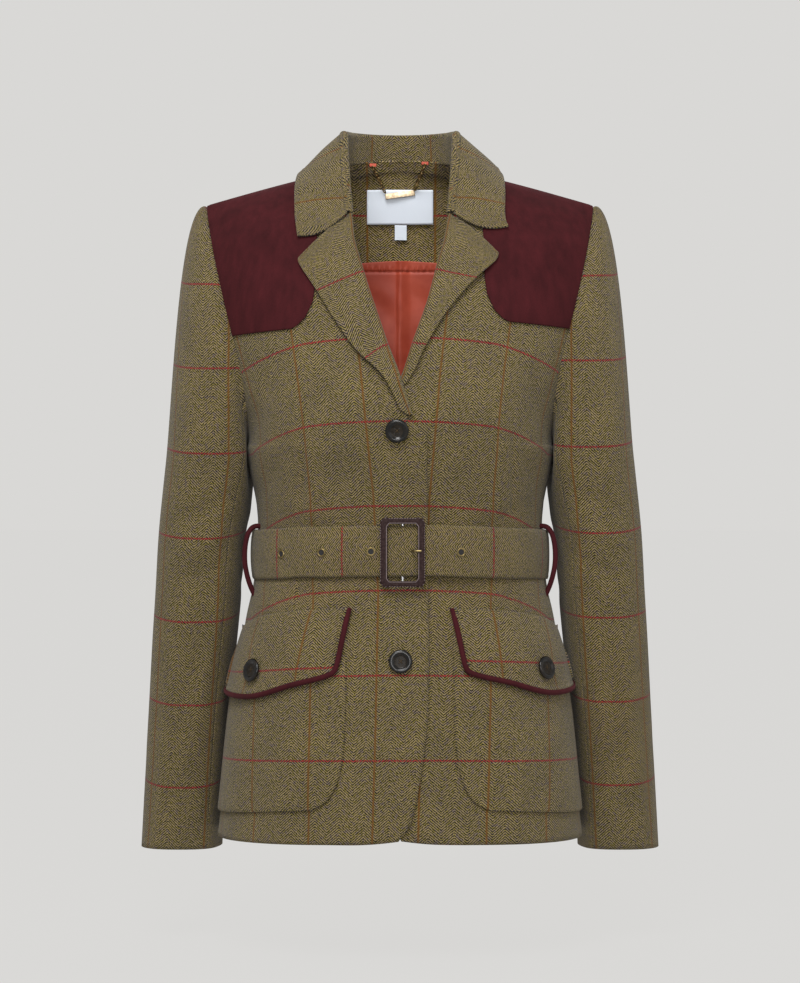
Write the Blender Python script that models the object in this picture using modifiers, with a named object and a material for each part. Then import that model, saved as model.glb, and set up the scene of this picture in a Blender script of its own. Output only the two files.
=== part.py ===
"""Hollow tweed shooting jacket, filled out as when worn, with belt, pockets and suede patches.

Tables are in millimetres and MM turns them into metres. The jacket faces -Y, +Z is up
and +X is the wearer's left. The origin lies between the two shoulder neck points.
A table for one side gives x outwards from the centre line; it is used with side = 1
for the wearer's left and side = -1 for the wearer's right, whose front laps over.
"""
import math
from collections import namedtuple

import bmesh
import bpy
import numpy as np
from mathutils import Vector

MM = 0.001
TWEED = 2.0
SUEDE = 1.5
SATIN = 1.0
SEAM = 1.3
LAYER = 1.2
SIDES = ((1, "left"), (-1, "right"))

for old in list(bpy.data.objects):
    bpy.data.objects.remove(old)


def new_collection(name, hidden=False):
    collection = bpy.data.collections.new(name)
    bpy.context.scene.collection.children.link(collection)
    collection.hide_render = hidden
    return collection


jacket = new_collection("shooting_jacket")


# Smooth curves through table rows
def smooth(rows, place):
    """Value of a curve through evenly spaced rows, at a place from 0 to len(rows) - 1."""
    last = len(rows) - 1
    place = min(max(place, 0.0), float(last))
    index = min(int(place), last - 1)
    share = place - index
    here, after = rows[index], rows[index + 1]
    before = rows[index - 1] if index > 0 else 2 * here - after
    beyond = rows[index + 2] if index + 2 <= last else 2 * after - here
    bend = 2 * before - 5 * here + 4 * after - beyond
    twist = 3 * here - before - 3 * after + beyond
    return here + 0.5 * share * ((after - before) + share * (bend + share * twist))


def lookup(rows, key):
    """Second column of a two-column table, at a value of its rising first column."""
    keys, values = zip(*rows)
    return float(np.interp(key, keys, values))


def ease(start, end, value):
    """0 before start, 1 after end, and a soft step between."""
    share = min(max((value - start) / (end - start), 0.0), 1.0)
    return share * share * (3.0 - 2.0 * share)


# Body of the jacket: sections from the hem up to the shoulder seam
Section = namedtuple("Section", "height side_height half_width depth side_depth roundness turn")
Panel = namedtuple("Panel", "sections faces")

FRONT = Panel(np.array((
    Section(-644, -648, 178.0, 130, 0, 2.35, 90),
    Section(-600, -600, 172.5, 129, 0, 2.35, 90),
    Section(-520, -520, 164.0, 125, 0, 2.35, 90),
    Section(-440, -440, 151.0, 115, 0, 2.30, 90),
    Section(-400, -402, 143.0, 110, 0, 2.25, 90),
    Section(-350, -354, 139.0, 108, 0, 2.20, 90),
    Section(-320, -324, 141.0, 114, 0, 2.20, 90),
    Section(-275, -278, 150.0, 126, 0, 2.30, 90),
    Section(-262, -268, 149.0, 129, 12, 2.30, 86),
    Section(-245, -255, 147.5, 131, 33, 2.30, 78),
    Section(-222, -232, 148.0, 129, 51, 2.30, 68),
    Section(-190, -198, 153.0, 121, 60, 2.30, 62),
    Section(-155, -165, 160.0, 109, 59, 2.30, 60),
    Section(-115, -126, 170.0, 93, 51, 2.30, 60),
    Section(-65, -84, 180.0, 70, 33, 2.30, 60),
    Section(-25, -56, 186.0, 42, 14, 2.30, 60),
    Section(0, -43, 188.5, 18, 3, 2.30, 60),
    Section(7.5, -37.3, 189.3, 2, -2, 2.30, 60),
    Section(9, -36, 189.5, -8, -6, 2.30, 60),
), dtype=float), -1)

BACK = Panel(np.array((
    Section(-644, -648, 178.0, 122, 0, 2.35, 90),
    Section(-600, -600, 172.5, 122, 0, 2.35, 90),
    Section(-520, -520, 164.0, 118, 0, 2.35, 90),
    Section(-440, -440, 151.0, 102, 0, 2.30, 90),
    Section(-400, -402, 143.0, 92, 0, 2.25, 90),
    Section(-350, -354, 139.0, 85, 0, 2.20, 90),
    Section(-320, -324, 141.0, 87, 0, 2.20, 90),
    Section(-275, -278, 150.0, 96, 0, 2.30, 90),
    Section(-262, -268, 149.0, 98, 12, 2.30, 86),
    Section(-245, -255, 149.0, 100, 32, 2.30, 78),
    Section(-222, -232, 151.0, 103, 50, 2.30, 68),
    Section(-190, -198, 157.0, 106, 58, 2.30, 62),
    Section(-155, -165, 164.0, 107, 58, 2.30, 60),
    Section(-115, -126, 173.0, 105, 50, 2.30, 60),
    Section(-65, -84, 181.5, 98, 36, 2.30, 60),
    Section(-25, -56, 186.5, 87, 22, 2.30, 60),
    Section(8, -44, 188.5, 76, 14, 2.30, 60),
    Section(16, -38, 189.2, 60, 9, 2.30, 60),
    Section(16, -36.4, 189.5, 34, 7, 2.30, 60),
    Section(9, -36, 189.5, 8, 6, 2.30, 60),
), dtype=float), 1)

ARMPIT = 7
SHOULDER_CURVE = 1.25
NECK_HALF = 68.0
NAPE = 16.5


def top_of(panel):
    return len(panel.sections) - 1.0


def body(panel, across, level, lift=0.0):
    """Point of a body panel: across -1 to 1 from side to side, level from hem to shoulder seam."""
    def bare(across, level):
        section = Section(*smooth(panel.sections, level))
        power = 2.0 / section.roundness
        turn = math.radians(section.turn)
        angle = abs(across) * turn
        share = (math.sin(angle) / math.sin(turn)) ** power
        end = max(math.cos(turn), 0.0) ** power
        bulge = (max(math.cos(angle), 0.0) ** power - end) / (1.0 - end)
        y = section.side_depth + (section.depth - section.side_depth) * bulge + SEAM / 2
        z = section.height + (section.side_height - section.height) * share ** SHOULDER_CURVE
        return Vector((math.copysign(section.half_width * share, across), panel.faces * y, z))

    point = bare(across, level)
    if not lift:
        return point
    step = 0.004
    sideways = bare(min(across + step, 1.0), level) - bare(max(across - step, -1.0), level)
    upwards = bare(across, min(level + step, top_of(panel))) - bare(across, max(level - step, 0.0))
    return point + sideways.cross(upwards).normalized() * (-panel.faces * lift)


def across_at(panel, x, level):
    section = Section(*smooth(panel.sections, level))
    turn = math.radians(section.turn)
    share = min(abs(x) / section.half_width, 1.0) ** (section.roundness / 2.0)
    return math.copysign(math.asin(share * math.sin(turn)) / turn, x)


def level_at(panel, x, z):
    """Level at which the panel is at height z, at the distance x from the centre line."""
    low, high = 0.0, top_of(panel)
    for _ in range(26):
        level = (low + high) / 2
        section = Section(*smooth(panel.sections, level))
        share = min(abs(x) / section.half_width, 1.0)
        if section.height + (section.side_height - section.height) * share ** SHOULDER_CURVE < z:
            low = level
        else:
            high = level
    return (low + high) / 2


def on(panel, x, z, lift=0.0):
    level = level_at(panel, x, z)
    return body(panel, across_at(panel, x, level), level, lift)


# Makers shared by the pieces
def material(name, colour, roughness, metallic=0.0):
    made = bpy.data.materials.new(name)
    made.use_nodes = True
    shader = made.node_tree.nodes["Principled BSDF"]
    shader.inputs["Base Color"].default_value = (*colour, 1.0)
    shader.inputs["Roughness"].default_value = roughness
    shader.inputs["Metallic"].default_value = metallic
    return made


TWEED_LOOK = ((0.125, 0.098, 0.052), 0.9)
SUEDE_LOOK = ((0.072, 0.015, 0.018), 0.85)
SATIN_LOOK = ((0.36, 0.085, 0.05), 0.4)
HORN_LOOK = ((0.02, 0.013, 0.009), 0.3)
BRASS_LOOK = ((0.55, 0.4, 0.16), 0.3, 1.0)


def add(name, data, look):
    piece = bpy.data.objects.new(name, data)
    data.materials.append(material(name, *look))
    jacket.objects.link(piece)
    return piece


def sheet(name, columns, rows, place, thickness, look, flip=False):
    """Wall of cloth: place(u, v) sets its outer face, and its thickness goes inwards."""
    grid = bmesh.new()
    bmesh.ops.create_grid(grid, x_segments=columns, y_segments=rows, size=0.5)
    for vert in grid.verts:
        vert.co = place(vert.co.x + 0.5, vert.co.y + 0.5) * MM
    if flip:
        bmesh.ops.reverse_faces(grid, faces=grid.faces)
    mesh = bpy.data.meshes.new(name)
    grid.to_mesh(mesh)
    grid.free()
    piece = add(name, mesh, look)
    wall = piece.modifiers.new("wall", "SOLIDIFY")
    wall.thickness = thickness * MM
    wall.offset = -1.0
    wall.use_even_offset = True
    return piece


def rope(name, points, radius, look, sides=2):
    curve = bpy.data.curves.new(name, "CURVE")
    curve.dimensions = "3D"
    curve.bevel_depth = radius * MM
    curve.bevel_resolution = sides
    curve.use_fill_caps = True
    spline = curve.splines.new("POLY")
    spline.points.add(len(points) - 1)
    for knot, point in zip(spline.points, points):
        knot.co = (*(point * MM), 1.0)
    return add(name, curve, look)


def face_along(piece, point, normal):
    """Sets a turned piece on a point with its +Z along a normal."""
    piece.location = point * MM
    piece.rotation_mode = "QUATERNION"
    piece.rotation_quaternion = Vector((0, 0, 1)).rotation_difference(normal)


def mirrored(side, point):
    return Vector((side * point.x, point.y, point.z))


# Fronts: from the front edge and the roll of the lapel out to the side seam and armhole
LAP = 3.4
HEM_RISE = 3.0
SKIRT_EDGE = ((-648, 3), (-641, 0), (-636, -5), (-627, -10), (-604, -15.5), (-561, -22),
              (-524, -26), (-470, -27), (-262, -25))
ROLL_EDGE = {
    "right": ((-246, -7), (-222, 2), (-202, 8), (-172, 19), (-148, 27), (-118, 37),
              (-84, 47.5), (-49, 59), (-25, 65), (-4, NECK_HALF)),
    "left": ((-240, -20), (-222, -4), (-203, 9), (-188, 14.5), (-172, 19.5), (-153, 26),
             (-135, 32.5), (-113, 38.5), (-86, 46.5), (-50, 59), (-25, 65), (-4, NECK_HALF)),
}


def lap_lift(side, x, z):
    """How far the upper front is carried out by the front below it."""
    if side == 1:
        return 0.0
    return LAP * (1.0 - ease(42, 72, x)) * (1.0 - ease(-205, -170, z))


def front_place(side, word):
    edge = SKIRT_EDGE + ROLL_EDGE[word]

    def place(u, v):
        level = v * top_of(FRONT)
        inner = lookup(edge, Section(*FRONT.sections[int(round(level))]).height)
        for _ in range(4):
            across = across_at(FRONT, inner, level)
            inner = lookup(edge, body(FRONT, across, level).z)
        start = across_at(FRONT, inner, level)
        across = 1.0 - (1.0 - start) * (1.0 - u) ** 1.35
        bare = body(FRONT, across, level)
        point = body(FRONT, across, level, lap_lift(side, bare.x, bare.z))
        corner = max(0.0, 1.0 - (bare.x - inner) / 45.0) ** 2
        point.z += HEM_RISE * corner * max(0.0, 1.0 - (bare.z + 644.0) / 60.0)
        return mirrored(side, point)
    return place


for side, word in SIDES:
    sheet("front_" + word, 9, 19, front_place(side, word), TWEED, TWEED_LOOK, flip=side < 0)


# Back: one panel between the side seams, cut to the neckline
def nape_level(x):
    top = top_of(BACK)
    return min(top, NAPE + (top - NAPE) * (abs(x) / NECK_HALF) ** 2)


BACK_COLUMNS = (0.0, 0.0723, 0.161, 0.2587, 0.43, 0.63, 0.835, 1.0)


def back_place(u, v, lift=0.0):
    column = abs(2.0 * u - 1.0) * (len(BACK_COLUMNS) - 1)
    across = math.copysign(np.interp(column, range(len(BACK_COLUMNS)), BACK_COLUMNS), u - 0.5)
    x = body(BACK, across, top_of(BACK)).x
    return body(BACK, across, v * nape_level(x), lift)


sheet("back", 14, 19, back_place, TWEED, TWEED_LOOK, flip=True)


# Sleeves: two pieces each, from the armhole over a rounded head and down to the cuff
Ring = namedtuple("Ring", "height centre_x centre_y half_width half_depth")
SLEEVE = np.array((
    Ring(-286, 182.0, 0, 46.8, 60),
    Ring(-352, 193.4, 9, 42.4, 55),
    Ring(-411, 197.7, 17, 41.9, 52),
    Ring(-460, 201.9, 24, 41.3, 50),
    Ring(-518, 206.8, 31, 40.3, 47.5),
    Ring(-587, 212.1, 40, 40.1, 45),
    Ring(-666, 217.2, 50, 40.2, 42.5),
), dtype=float)
SLEEVE_ROUNDNESS = 2.5
HEAD_SHARE = 0.42
FRONT_SEAM = 128.0
BACK_SEAM = -105.0
SEAM_TURN = 1.4
BESIDE_BODY = 3.2


def body_reach(y, z):
    """Half width of the jacket body at the depth y and the height z, below the armpit."""
    panel = FRONT if y < 0 else BACK
    level = level_at(panel, 1000.0, min(z, -279.0))
    section = Section(*smooth(panel.sections, level))
    inside = 1.0 - min(abs(y) / section.depth, 1.0) ** section.roundness
    return section.half_width * inside ** (1.0 / section.roundness)


def ring_point(turn, place):
    """Point of a sleeve ring; turn in degrees runs from the outer side to the front and round."""
    ring = Ring(*smooth(SLEEVE, place))
    power = 2.0 / SLEEVE_ROUNDNESS
    cosine, sine = math.cos(math.radians(turn)), math.sin(math.radians(turn))
    x = ring.centre_x + ring.half_width * math.copysign(abs(cosine) ** power, cosine)
    y = ring.centre_y - ring.half_depth * math.copysign(abs(sine) ** power, sine)
    return Vector((max(x, body_reach(y, ring.height) + BESIDE_BODY), y, ring.height))


def armhole(turn):
    panel = FRONT if turn >= 0 else BACK
    top = top_of(panel)
    return body(panel, 1.0, top - (top - ARMPIT) * min(abs(turn) / 180.0, 1.0))


def head_point(turn, share):
    """Point of the sleeve head, on a curve that leaves the armhole outwards and ends down the arm."""
    cosine, sine = math.cos(math.radians(turn)), math.sin(math.radians(turn))
    under = max(-cosine, 0.0) ** 2
    leave = Vector((0.84 - 0.5 * under, -0.5 * sine, 0.55 * max(cosine, 0.0) - 0.97 * under - 0.1 * abs(sine)))
    leave.normalize()
    start = armhole(turn) + leave * 1.3
    end = ring_point(turn, 0.0)
    length = (end - start).length
    arrive = (ring_point(turn, 0.3) - end).normalized()
    first = (1 + 2 * share) * (1 - share) ** 2
    second = share * (1 - share) ** 2
    third = share ** 2 * (3 - 2 * share)
    fourth = share ** 2 * (share - 1)
    point = start * first + leave * (0.38 * length * second) + end * third + arrive * (0.82 * length * fourth)
    if point.z < -279.0:
        point.x = max(point.x, body_reach(point.y, point.z) + BESIDE_BODY)
    return point


def sleeve_place(side, begin, finish):
    def place(u, v):
        turn = begin + (finish - begin) * u
        turn = turn - 360.0 if turn > 180.0 else turn
        down = 1.0 - v
        if down < HEAD_SHARE:
            return mirrored(side, head_point(turn, down / HEAD_SHARE))
        rings = len(SLEEVE) - 1
        return mirrored(side, ring_point(turn, (down - HEAD_SHARE) / (1.0 - HEAD_SHARE) * rings))
    return place


for side, word in SIDES:
    sheet("top_sleeve_" + word, 11, 15, sleeve_place(side, BACK_SEAM + SEAM_TURN, FRONT_SEAM - SEAM_TURN),
          TWEED, TWEED_LOOK, flip=side > 0)
    sheet("under_sleeve_" + word, 6, 15, sleeve_place(side, FRONT_SEAM + SEAM_TURN, 360.0 + BACK_SEAM - SEAM_TURN),
          TWEED, TWEED_LOOK, flip=side > 0)


# Shoulder patches: suede on the front, from the shoulder seam and armhole to under the lapel
PATCH_LIFT = LAYER + SUEDE
PATCH_EDGE = ((-160, 110), (-153, 106), (-147, 94), (-139, 87), (-128, 82.5), (-112, 80), (-60, 79), (20, 84))
PATCH_FOOT = {"left": -146.0, "right": -153.0}


def patch_place(side, word):
    foot = level_at(FRONT, 0.0, PATCH_FOOT[word])

    def place(u, v):
        level = foot + (top_of(FRONT) - 0.03 - foot) * v ** 1.15
        height = smooth(FRONT.sections, level)[0]
        inner = lookup(PATCH_EDGE, height - PATCH_FOOT[word] - 153.0 if height < -60 else height)
        start = across_at(FRONT, inner, level)
        return mirrored(side, body(FRONT, start + (0.985 - start) * u, level, PATCH_LIFT))
    return place


for side, word in SIDES:
    sheet("shoulder_patch_" + word, 6, 8, patch_place(side, word), SUEDE, SUEDE_LOOK, flip=side < 0)


# Lapels: each turned over its roll, from the inside round to the outer edge
Fold = namedtuple("Fold", "roll_x roll_z edge_x edge_z")
LAPELS = {
    "right": np.array((
        Fold(-12, -243, 0, -238),
        Fold(-5, -222, 8, -221),
        Fold(1, -202, 18, -205),
        Fold(12, -172, 41, -182),
        Fold(20, -148, 61, -153),
        Fold(30, -118, 79, -124),
        Fold(40, -84, 94, -101),
        Fold(48.5, -53, 96, -94),
    ), dtype=float),
    "left": np.array((
        Fold(2, -203, 14, -200),
        Fold(7, -188, 20, -186),
        Fold(12, -172, 28, -171),
        Fold(18.7, -153, 42, -148),
        Fold(25, -135, 57, -129),
        Fold(31, -113, 73, -112),
        Fold(38, -86, 90, -96),
        Fold(49, -54, 93, -89),
    ), dtype=float),
}
NOTCH_BOW = 3.2
ROLL = 4.6
FLANGE = 6.0
LAPEL_LIFT = 6.2


def lapel_path(word, side, place):
    """Points across a lapel, from the flange inside, round the roll, out to its edge."""
    fold = Fold(*smooth(LAPELS[word], place))
    share = place / (len(LAPELS[word]) - 1)
    roll = ROLL * (0.62 + 0.38 * ease(0.0, 0.3, share))
    base = lap_lift(side, fold.roll_x, fold.roll_z)
    rim = on(FRONT, fold.roll_x, fold.roll_z, base)
    normal = (on(FRONT, fold.roll_x, fold.roll_z, base + 1.0) - rim).normalized()
    out = (on(FRONT, fold.edge_x, fold.edge_z) - on(FRONT, fold.roll_x, fold.roll_z)).normalized()
    out = (out - normal * out.dot(normal)).normalized()
    centre = rim + out * roll - normal * (TWEED / 2)
    inside = ease(0.3, 0.5, share) if side < 0 else ease(0.0, 0.2, share)
    begin = math.radians(-10.0 - 80.0 * inside)
    back = out * -math.sin(begin) - normal * math.cos(begin)
    points = []
    for step in range(6):
        turn = begin + (math.pi / 2 - begin) * step / 5
        points.append(centre - out * (roll * math.cos(turn)) + normal * (roll * math.sin(turn)))
    points.insert(0, points[0] + back * (0.8 + FLANGE * inside))
    notch = NOTCH_BOW * ease(0.86, 1.0, share)
    begin_x = fold.roll_x + roll * 0.98
    for step in range(1, 7):
        part = step / 6
        x = begin_x + (fold.edge_x - begin_x) * part
        z = fold.roll_z + (fold.edge_z - fold.roll_z) * part + notch * math.sin(math.pi * part)
        rise = roll - 1.0 + (LAPEL_LIFT - roll + 1.0) * ease(0.0, 0.55, part)
        points.append(on(FRONT, x, z, rise + lap_lift(side, x, z)))
    return points


def lapel_place(side, word, columns):
    paths = {}

    def place(u, v):
        row = round(v, 6)
        if row not in paths:
            paths[row] = lapel_path(word, side, v * (len(LAPELS[word]) - 1))
        return mirrored(side, paths[row][int(round(u * columns))])
    return place


for side, word in SIDES:
    sheet("lapel_" + word, 12, 10, lapel_place(side, word, 12), TWEED, TWEED_LOOK, flip=side < 0)


# Collar: one wall from the neck seam up the stand, over the fold and down the leaf
Station = namedtuple("Station", "stand_x stand_y stand_z fold_x fold_y fold_z edge_x edge_y")
COLLAR = (
    Station(0, 65, 15.5, 0, 72, 42, 0, 89),
    Station(24, 60.5, 14.5, 25, 67, 42, 44, 84),
    Station(45, 40, 10.5, 45.5, 45, 41, 79, 62),
    Station(57, 17, 5.5, 54, 17, 39, 94, 32),
    Station(60, 0, 0, 55, -4, 34, 98, 2),
    Station(58, -20, -14, 53.5, -29, 4, 100, -26),
    Station(54, -40, -36, 50.5, -47, -30, 99.5, -50),
)
COLLAR_END = {
    "left": Station(52, -50, -50, 49.5, -55, -45, 103, -56),
    "right": Station(52, -50, -50, 49, -55, -45, 97, -63.5),
}
COLLAR_LIFT = 6.4
FOLD_ROLL = 3.6
LEAF_BOW = 1.2
RIDGE_Y = 7.0


def over(x, y, lift):
    """Point above the shoulders at the place x, y."""
    panel = FRONT if y < RIDGE_Y else BACK
    low, high = 10.0, top_of(panel)
    for _ in range(26):
        level = (low + high) / 2
        if abs(body(panel, across_at(panel, x, level), level).y - RIDGE_Y) > abs(y - RIDGE_Y):
            low = level
        else:
            high = level
    return body(panel, across_at(panel, x, level), level, lift)


def clear_of_body(point, lift):
    """Keeps a collar point a lift away from the panel it lies over."""
    if point.y < -30.0:
        point.y = min(point.y, on(FRONT, abs(point.x), point.z, lift).y)
    elif abs(point.x) > NECK_HALF or point.y > 60.0:
        point.z = max(point.z, over(abs(point.x), point.y, lift).z)
    return point


def collar_stations():
    """Stand, fold and edge points from the right end round the back to the left end."""
    halves = {}
    for side, word in SIDES:
        rows = []
        for station in COLLAR + (COLLAR_END[word],):
            edge = over(station.edge_x, station.edge_y, COLLAR_LIFT)
            stand, fold = Vector(station[0:3]), Vector(station[3:6])
            rows.append([*mirrored(side, stand), *mirrored(side, fold), *mirrored(side, edge)])
        halves[word] = rows
    return np.array(halves["right"][:0:-1] + halves["left"])


def collar_path(stations, place):
    row = smooth(stations, place)
    stand, fold, edge = Vector(row[0:3]), Vector(row[3:6]), Vector(row[6:9])
    out = edge - fold
    out.z = 0.0
    out.normalize()
    up = Vector((0, 0, 1))
    centre = fold - up * FOLD_ROLL
    inner = centre - out * FOLD_ROLL
    outer = centre + out * FOLD_ROLL
    end = abs(place / (len(stations) - 1) - 0.5) * 2.0
    points = [stand.lerp(inner, step / 3) for step in range(3)]
    for angle in range(0, 181, 45):
        turn = math.radians(angle)
        points.append(centre - out * (FOLD_ROLL * math.cos(turn)) + up * (FOLD_ROLL * math.sin(turn)))
    for step in range(1, 7):
        part = step / 6
        bow = math.sin(math.pi * part)
        point = outer.lerp(edge, part) + up * (LEAF_BOW * bow)
        point.z -= (LEAF_BOW + NOTCH_BOW) * bow * ease(0.9, 1.0, end)
        points.append(clear_of_body(point, 3.4 + (COLLAR_LIFT - 3.4) * ease(0.0, 0.5, part)))
    return points


def collar_place(columns, rows):
    stations = collar_stations()
    paths = [collar_path(stations, row / rows * (len(stations) - 1)) for row in range(rows + 1)]

    def place(u, v):
        return paths[int(round(v * rows))][int(round(u * columns))]
    return place


sheet("collar", 13, 22, collar_place(13, 22), TWEED, TWEED_LOOK)


# Patch pockets: tweed on each front, from a curved inner corner round to the side seam
Rib = namedtuple("Rib", "height inner_x")
POCKET = np.array((
    Rib(-611, 83), Rib(-604, 69.5), Rib(-590, 60), Rib(-570, 54.5),
    Rib(-541, 51.5), Rib(-500, 50.5), Rib(-450, 50),
), dtype=float)
POCKET_LIFT = LAYER + TWEED
SIDE_DROOP = 11.0
SIDE_END = 0.97


def pocket_place(side):
    def place(u, v):
        rib = Rib(*smooth(POCKET, v * (len(POCKET) - 1)))
        start = across_at(FRONT, rib.inner_x, level_at(FRONT, 0.0, rib.height))
        across = start + (SIDE_END - start) * u
        level = level_at(FRONT, 0.0, rib.height - SIDE_DROOP * math.sin(across * math.pi / 2) ** 2)
        x = body(FRONT, across, level).x
        return mirrored(side, body(FRONT, across, level, POCKET_LIFT + lap_lift(side, x, rib.height)))
    return place


# Pocket flaps: standing off the pockets, with suede piping round the free edges
Flap = namedtuple("Flap", "top_x top_z foot_x foot_z top_lift foot_lift")
FLAP = np.array((
    Flap(49, -424, 59, -470, 6.0, 7.5),
    Flap(54, -424.5, 66, -482, 6.0, 8.0),
    Flap(95, -427, 100, -495, 6.2, 9.5),
    Flap(133, -434, 138, -508, 6.2, 9.5),
    Flap(156, -441, 178, -506, 6.0, 7.5),
), dtype=float)
FLAP_RAISE = {"left": 5.0, "right": 0.0}
FLAP_INSET = {"left": 2.0, "right": 0.0}
PIPING = 2.3


def flap_point(word, u, v):
    """Point of a flap: u from its inner end to the side, v from its top down to its foot."""
    flap = Flap(*smooth(FLAP, u * (len(FLAP) - 1)))
    level = level_at(FRONT, 0.0, flap.top_z)
    inset = FLAP_INSET[word] * (1.0 - u)
    begin = min(across_at(FRONT, flap.top_x + inset, level), SIDE_END)
    finish = min(across_at(FRONT, flap.foot_x + inset, level_at(FRONT, 0.0, flap.foot_z)), SIDE_END)
    across = begin + (finish - begin) * v
    z = flap.top_z + (flap.foot_z + FLAP_RAISE[word] * u - flap.top_z) * v
    lift = flap.top_lift + (flap.foot_lift - flap.top_lift) * v ** 1.3
    level = level_at(FRONT, 0.0, z)
    side = 1 if word == "left" else -1
    return body(FRONT, across, level, lift + lap_lift(side, body(FRONT, across, level).x, z))


def flap_normal(word, u, v):
    sideways = flap_point(word, u + 0.05, v) - flap_point(word, u - 0.05, v)
    upwards = flap_point(word, u, v - 0.05) - flap_point(word, u, v + 0.05)
    return sideways.cross(upwards).normalized()


def flap_place(side, word):
    def place(u, v):
        return mirrored(side, flap_point(word, u, 1.0 - v))
    return place


def piping_points(side, word):
    """Path of the piping: down the inner end and along the foot, just outside the flap's edge."""
    places = [(0.0, v / 5) for v in range(6)] + [(u / 16, 1.0) for u in range(1, 17)]
    edge = [flap_point(word, u, v) for u, v in places]
    points = []
    for index, (u, v) in enumerate(places):
        along = edge[min(index + 1, len(edge) - 1)] - edge[max(index - 1, 0)]
        normal = flap_normal(word, min(max(u, 0.05), 0.95), min(max(v, 0.05), 0.95))
        out = along.cross(normal).normalized()
        points.append(mirrored(side, edge[index] + out * (PIPING + 1.7) - normal * (TWEED / 2)))
    return points


# Buttons: turned horn discs with a rim and a sunk middle
BUTTON_RADIUS = 11.2
BUTTON_PROFILE = ((0, 2.6), (6.2, 2.7), (7.4, 3.9), (9.6, 4.2), (11.0, 3.3), (11.2, 2.2),
                  (10.2, 0.7), (8.0, 0), (0, 0))


def button(name, point, normal):
    mesh = bpy.data.meshes.new(name)
    corners = [(x * MM, 0.0, z * MM) for x, z in BUTTON_PROFILE]
    mesh.from_pydata(corners, [(i, i + 1) for i in range(len(corners) - 1)], [])
    piece = add(name, mesh, HORN_LOOK)
    turned = piece.modifiers.new("turned", "SCREW")
    turned.steps = 24
    turned.render_steps = 24
    turned.use_merge_vertices = True
    turned.merge_threshold = 0.00001
    turned.use_normal_calculate = True
    face_along(piece, point, normal)


FLAP_BUTTON = {"right": (0.725, 0.71), "left": (0.71, 0.72)}
for side, word in SIDES:
    sheet("pocket_" + word, 6, 8, pocket_place(side), TWEED, TWEED_LOOK, flip=side < 0)
    sheet("pocket_flap_" + word, 8, 3, flap_place(side, word), TWEED, TWEED_LOOK, flip=side < 0)
    rope("flap_piping_" + word, piping_points(side, word), PIPING, SUEDE_LOOK)
    u, v = FLAP_BUTTON[word]
    normal = flap_normal(word, u, v)
    button("flap_button_" + word, mirrored(side, flap_point(word, u, v) + normal * 0.8), mirrored(side, normal))

for name, x, z in (("chest_button", -2.8, -256.5), ("skirt_button", 0.5, -474.0)):
    seat = on(FRONT, x, z, LAP + 0.9)
    button(name, seat, (on(FRONT, x, z, LAP + 2.0) - seat).normalized())


# Belt: one strap from the buckle bar round the waist, its free end lying over its start
BELT_HEIGHT = -372.0
BELT_WIDTH = 50.0
BELT_THICK = 1.6
BELT_DROOP = 5.0
BELT_START = 0.045
BELT_END = 5.35
BELT_OVER = 10.6
BELT_LIFT = ((0.0, 7.9), (0.3, 7.3), (1.6, 6.4), (2.2, 7.2), (3.5, 7.4), (3.85, BELT_OVER), (4.3, 10.2),
             (4.8, 9.2), (5.35, 9.2))
BELT_LEVEL = level_at(FRONT, 0.0, BELT_HEIGHT)


def belt_point(turn, rise, lift):
    """Point outside the waist: turn 0 is the front, 1 the left side, 2 the back, 3 the right."""
    quarter = turn % 4.0
    panel = BACK if 1.0 < quarter < 3.0 else FRONT
    across = 2.0 - quarter if panel is BACK else (quarter if quarter <= 1.0 else quarter - 4.0)
    point = body(panel, across, BELT_LEVEL)
    step = 0.01
    along = body(panel, min(across + step, 1.0), BELT_LEVEL) - body(panel, max(across - step, -1.0), BELT_LEVEL)
    out = Vector((-along.y, along.x, 0.0)).normalized() * panel.faces
    droop = BELT_DROOP * math.sin(across * math.pi / 2) ** 2
    return Vector((point.x, point.y, BELT_HEIGHT - droop + rise)) + out * lift, out


def belt_place(u, v):
    turn = BELT_START + (BELT_END - BELT_START) * u
    return belt_point(turn, (v - 0.5) * BELT_WIDTH, lookup(BELT_LIFT, turn))[0]


sheet("belt", 56, 1, belt_place, BELT_THICK, TWEED_LOOK)

EYELET_X = (-112.0, -73.0, -26.3, 56.3)
EYELET_RING = 3.4
EYELET_WIRE = 0.9
for index, x in enumerate(EYELET_X):
    turn = 4.0 + across_at(FRONT, x, BELT_LEVEL) * 0.985
    seat, out = belt_point(turn, -1.0, lookup(BELT_LIFT, turn) + EYELET_WIRE + 0.4)
    bpy.ops.mesh.primitive_torus_add(major_radius=EYELET_RING * MM, minor_radius=EYELET_WIRE * MM,
                                     major_segments=20, minor_segments=8)
    eyelet = bpy.context.object
    eyelet.name = f"eyelet_{index + 1}"
    eyelet.data.materials.append(material(eyelet.name, *BRASS_LOOK))
    for home in eyelet.users_collection:
        home.objects.unlink(eyelet)
    jacket.objects.link(eyelet)
    face_along(eyelet, seat, out)


# Buckle: leather-covered frame, steel bar behind the strap, brass prong on the frame
BUCKLE_X = 2.4
BUCKLE_Z = -371.2
FRAME_OUTER = (42.2, 64.7, 7.5)
FRAME_WINDOW = (28.2, 53.6, 3.0)
FRAME_THICK = 4.0
BAR_RADIUS = 1.2
BAR_LIFT = 6.6
PRONG_RADIUS = 1.1


def rounded_outline(width, height, radius):
    points = []
    for corner, (right, top) in enumerate(((1, 1), (-1, 1), (-1, -1), (1, -1))):
        for step in range(5):
            turn = math.radians(90 * corner + 22.5 * step)
            points.append((right * (width / 2 - radius) + radius * math.cos(turn),
                           top * (height / 2 - radius) + radius * math.sin(turn)))
    return points


def buckle_depth(lift):
    return belt_point(0.0, 0.0, lift)[0].y


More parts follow.
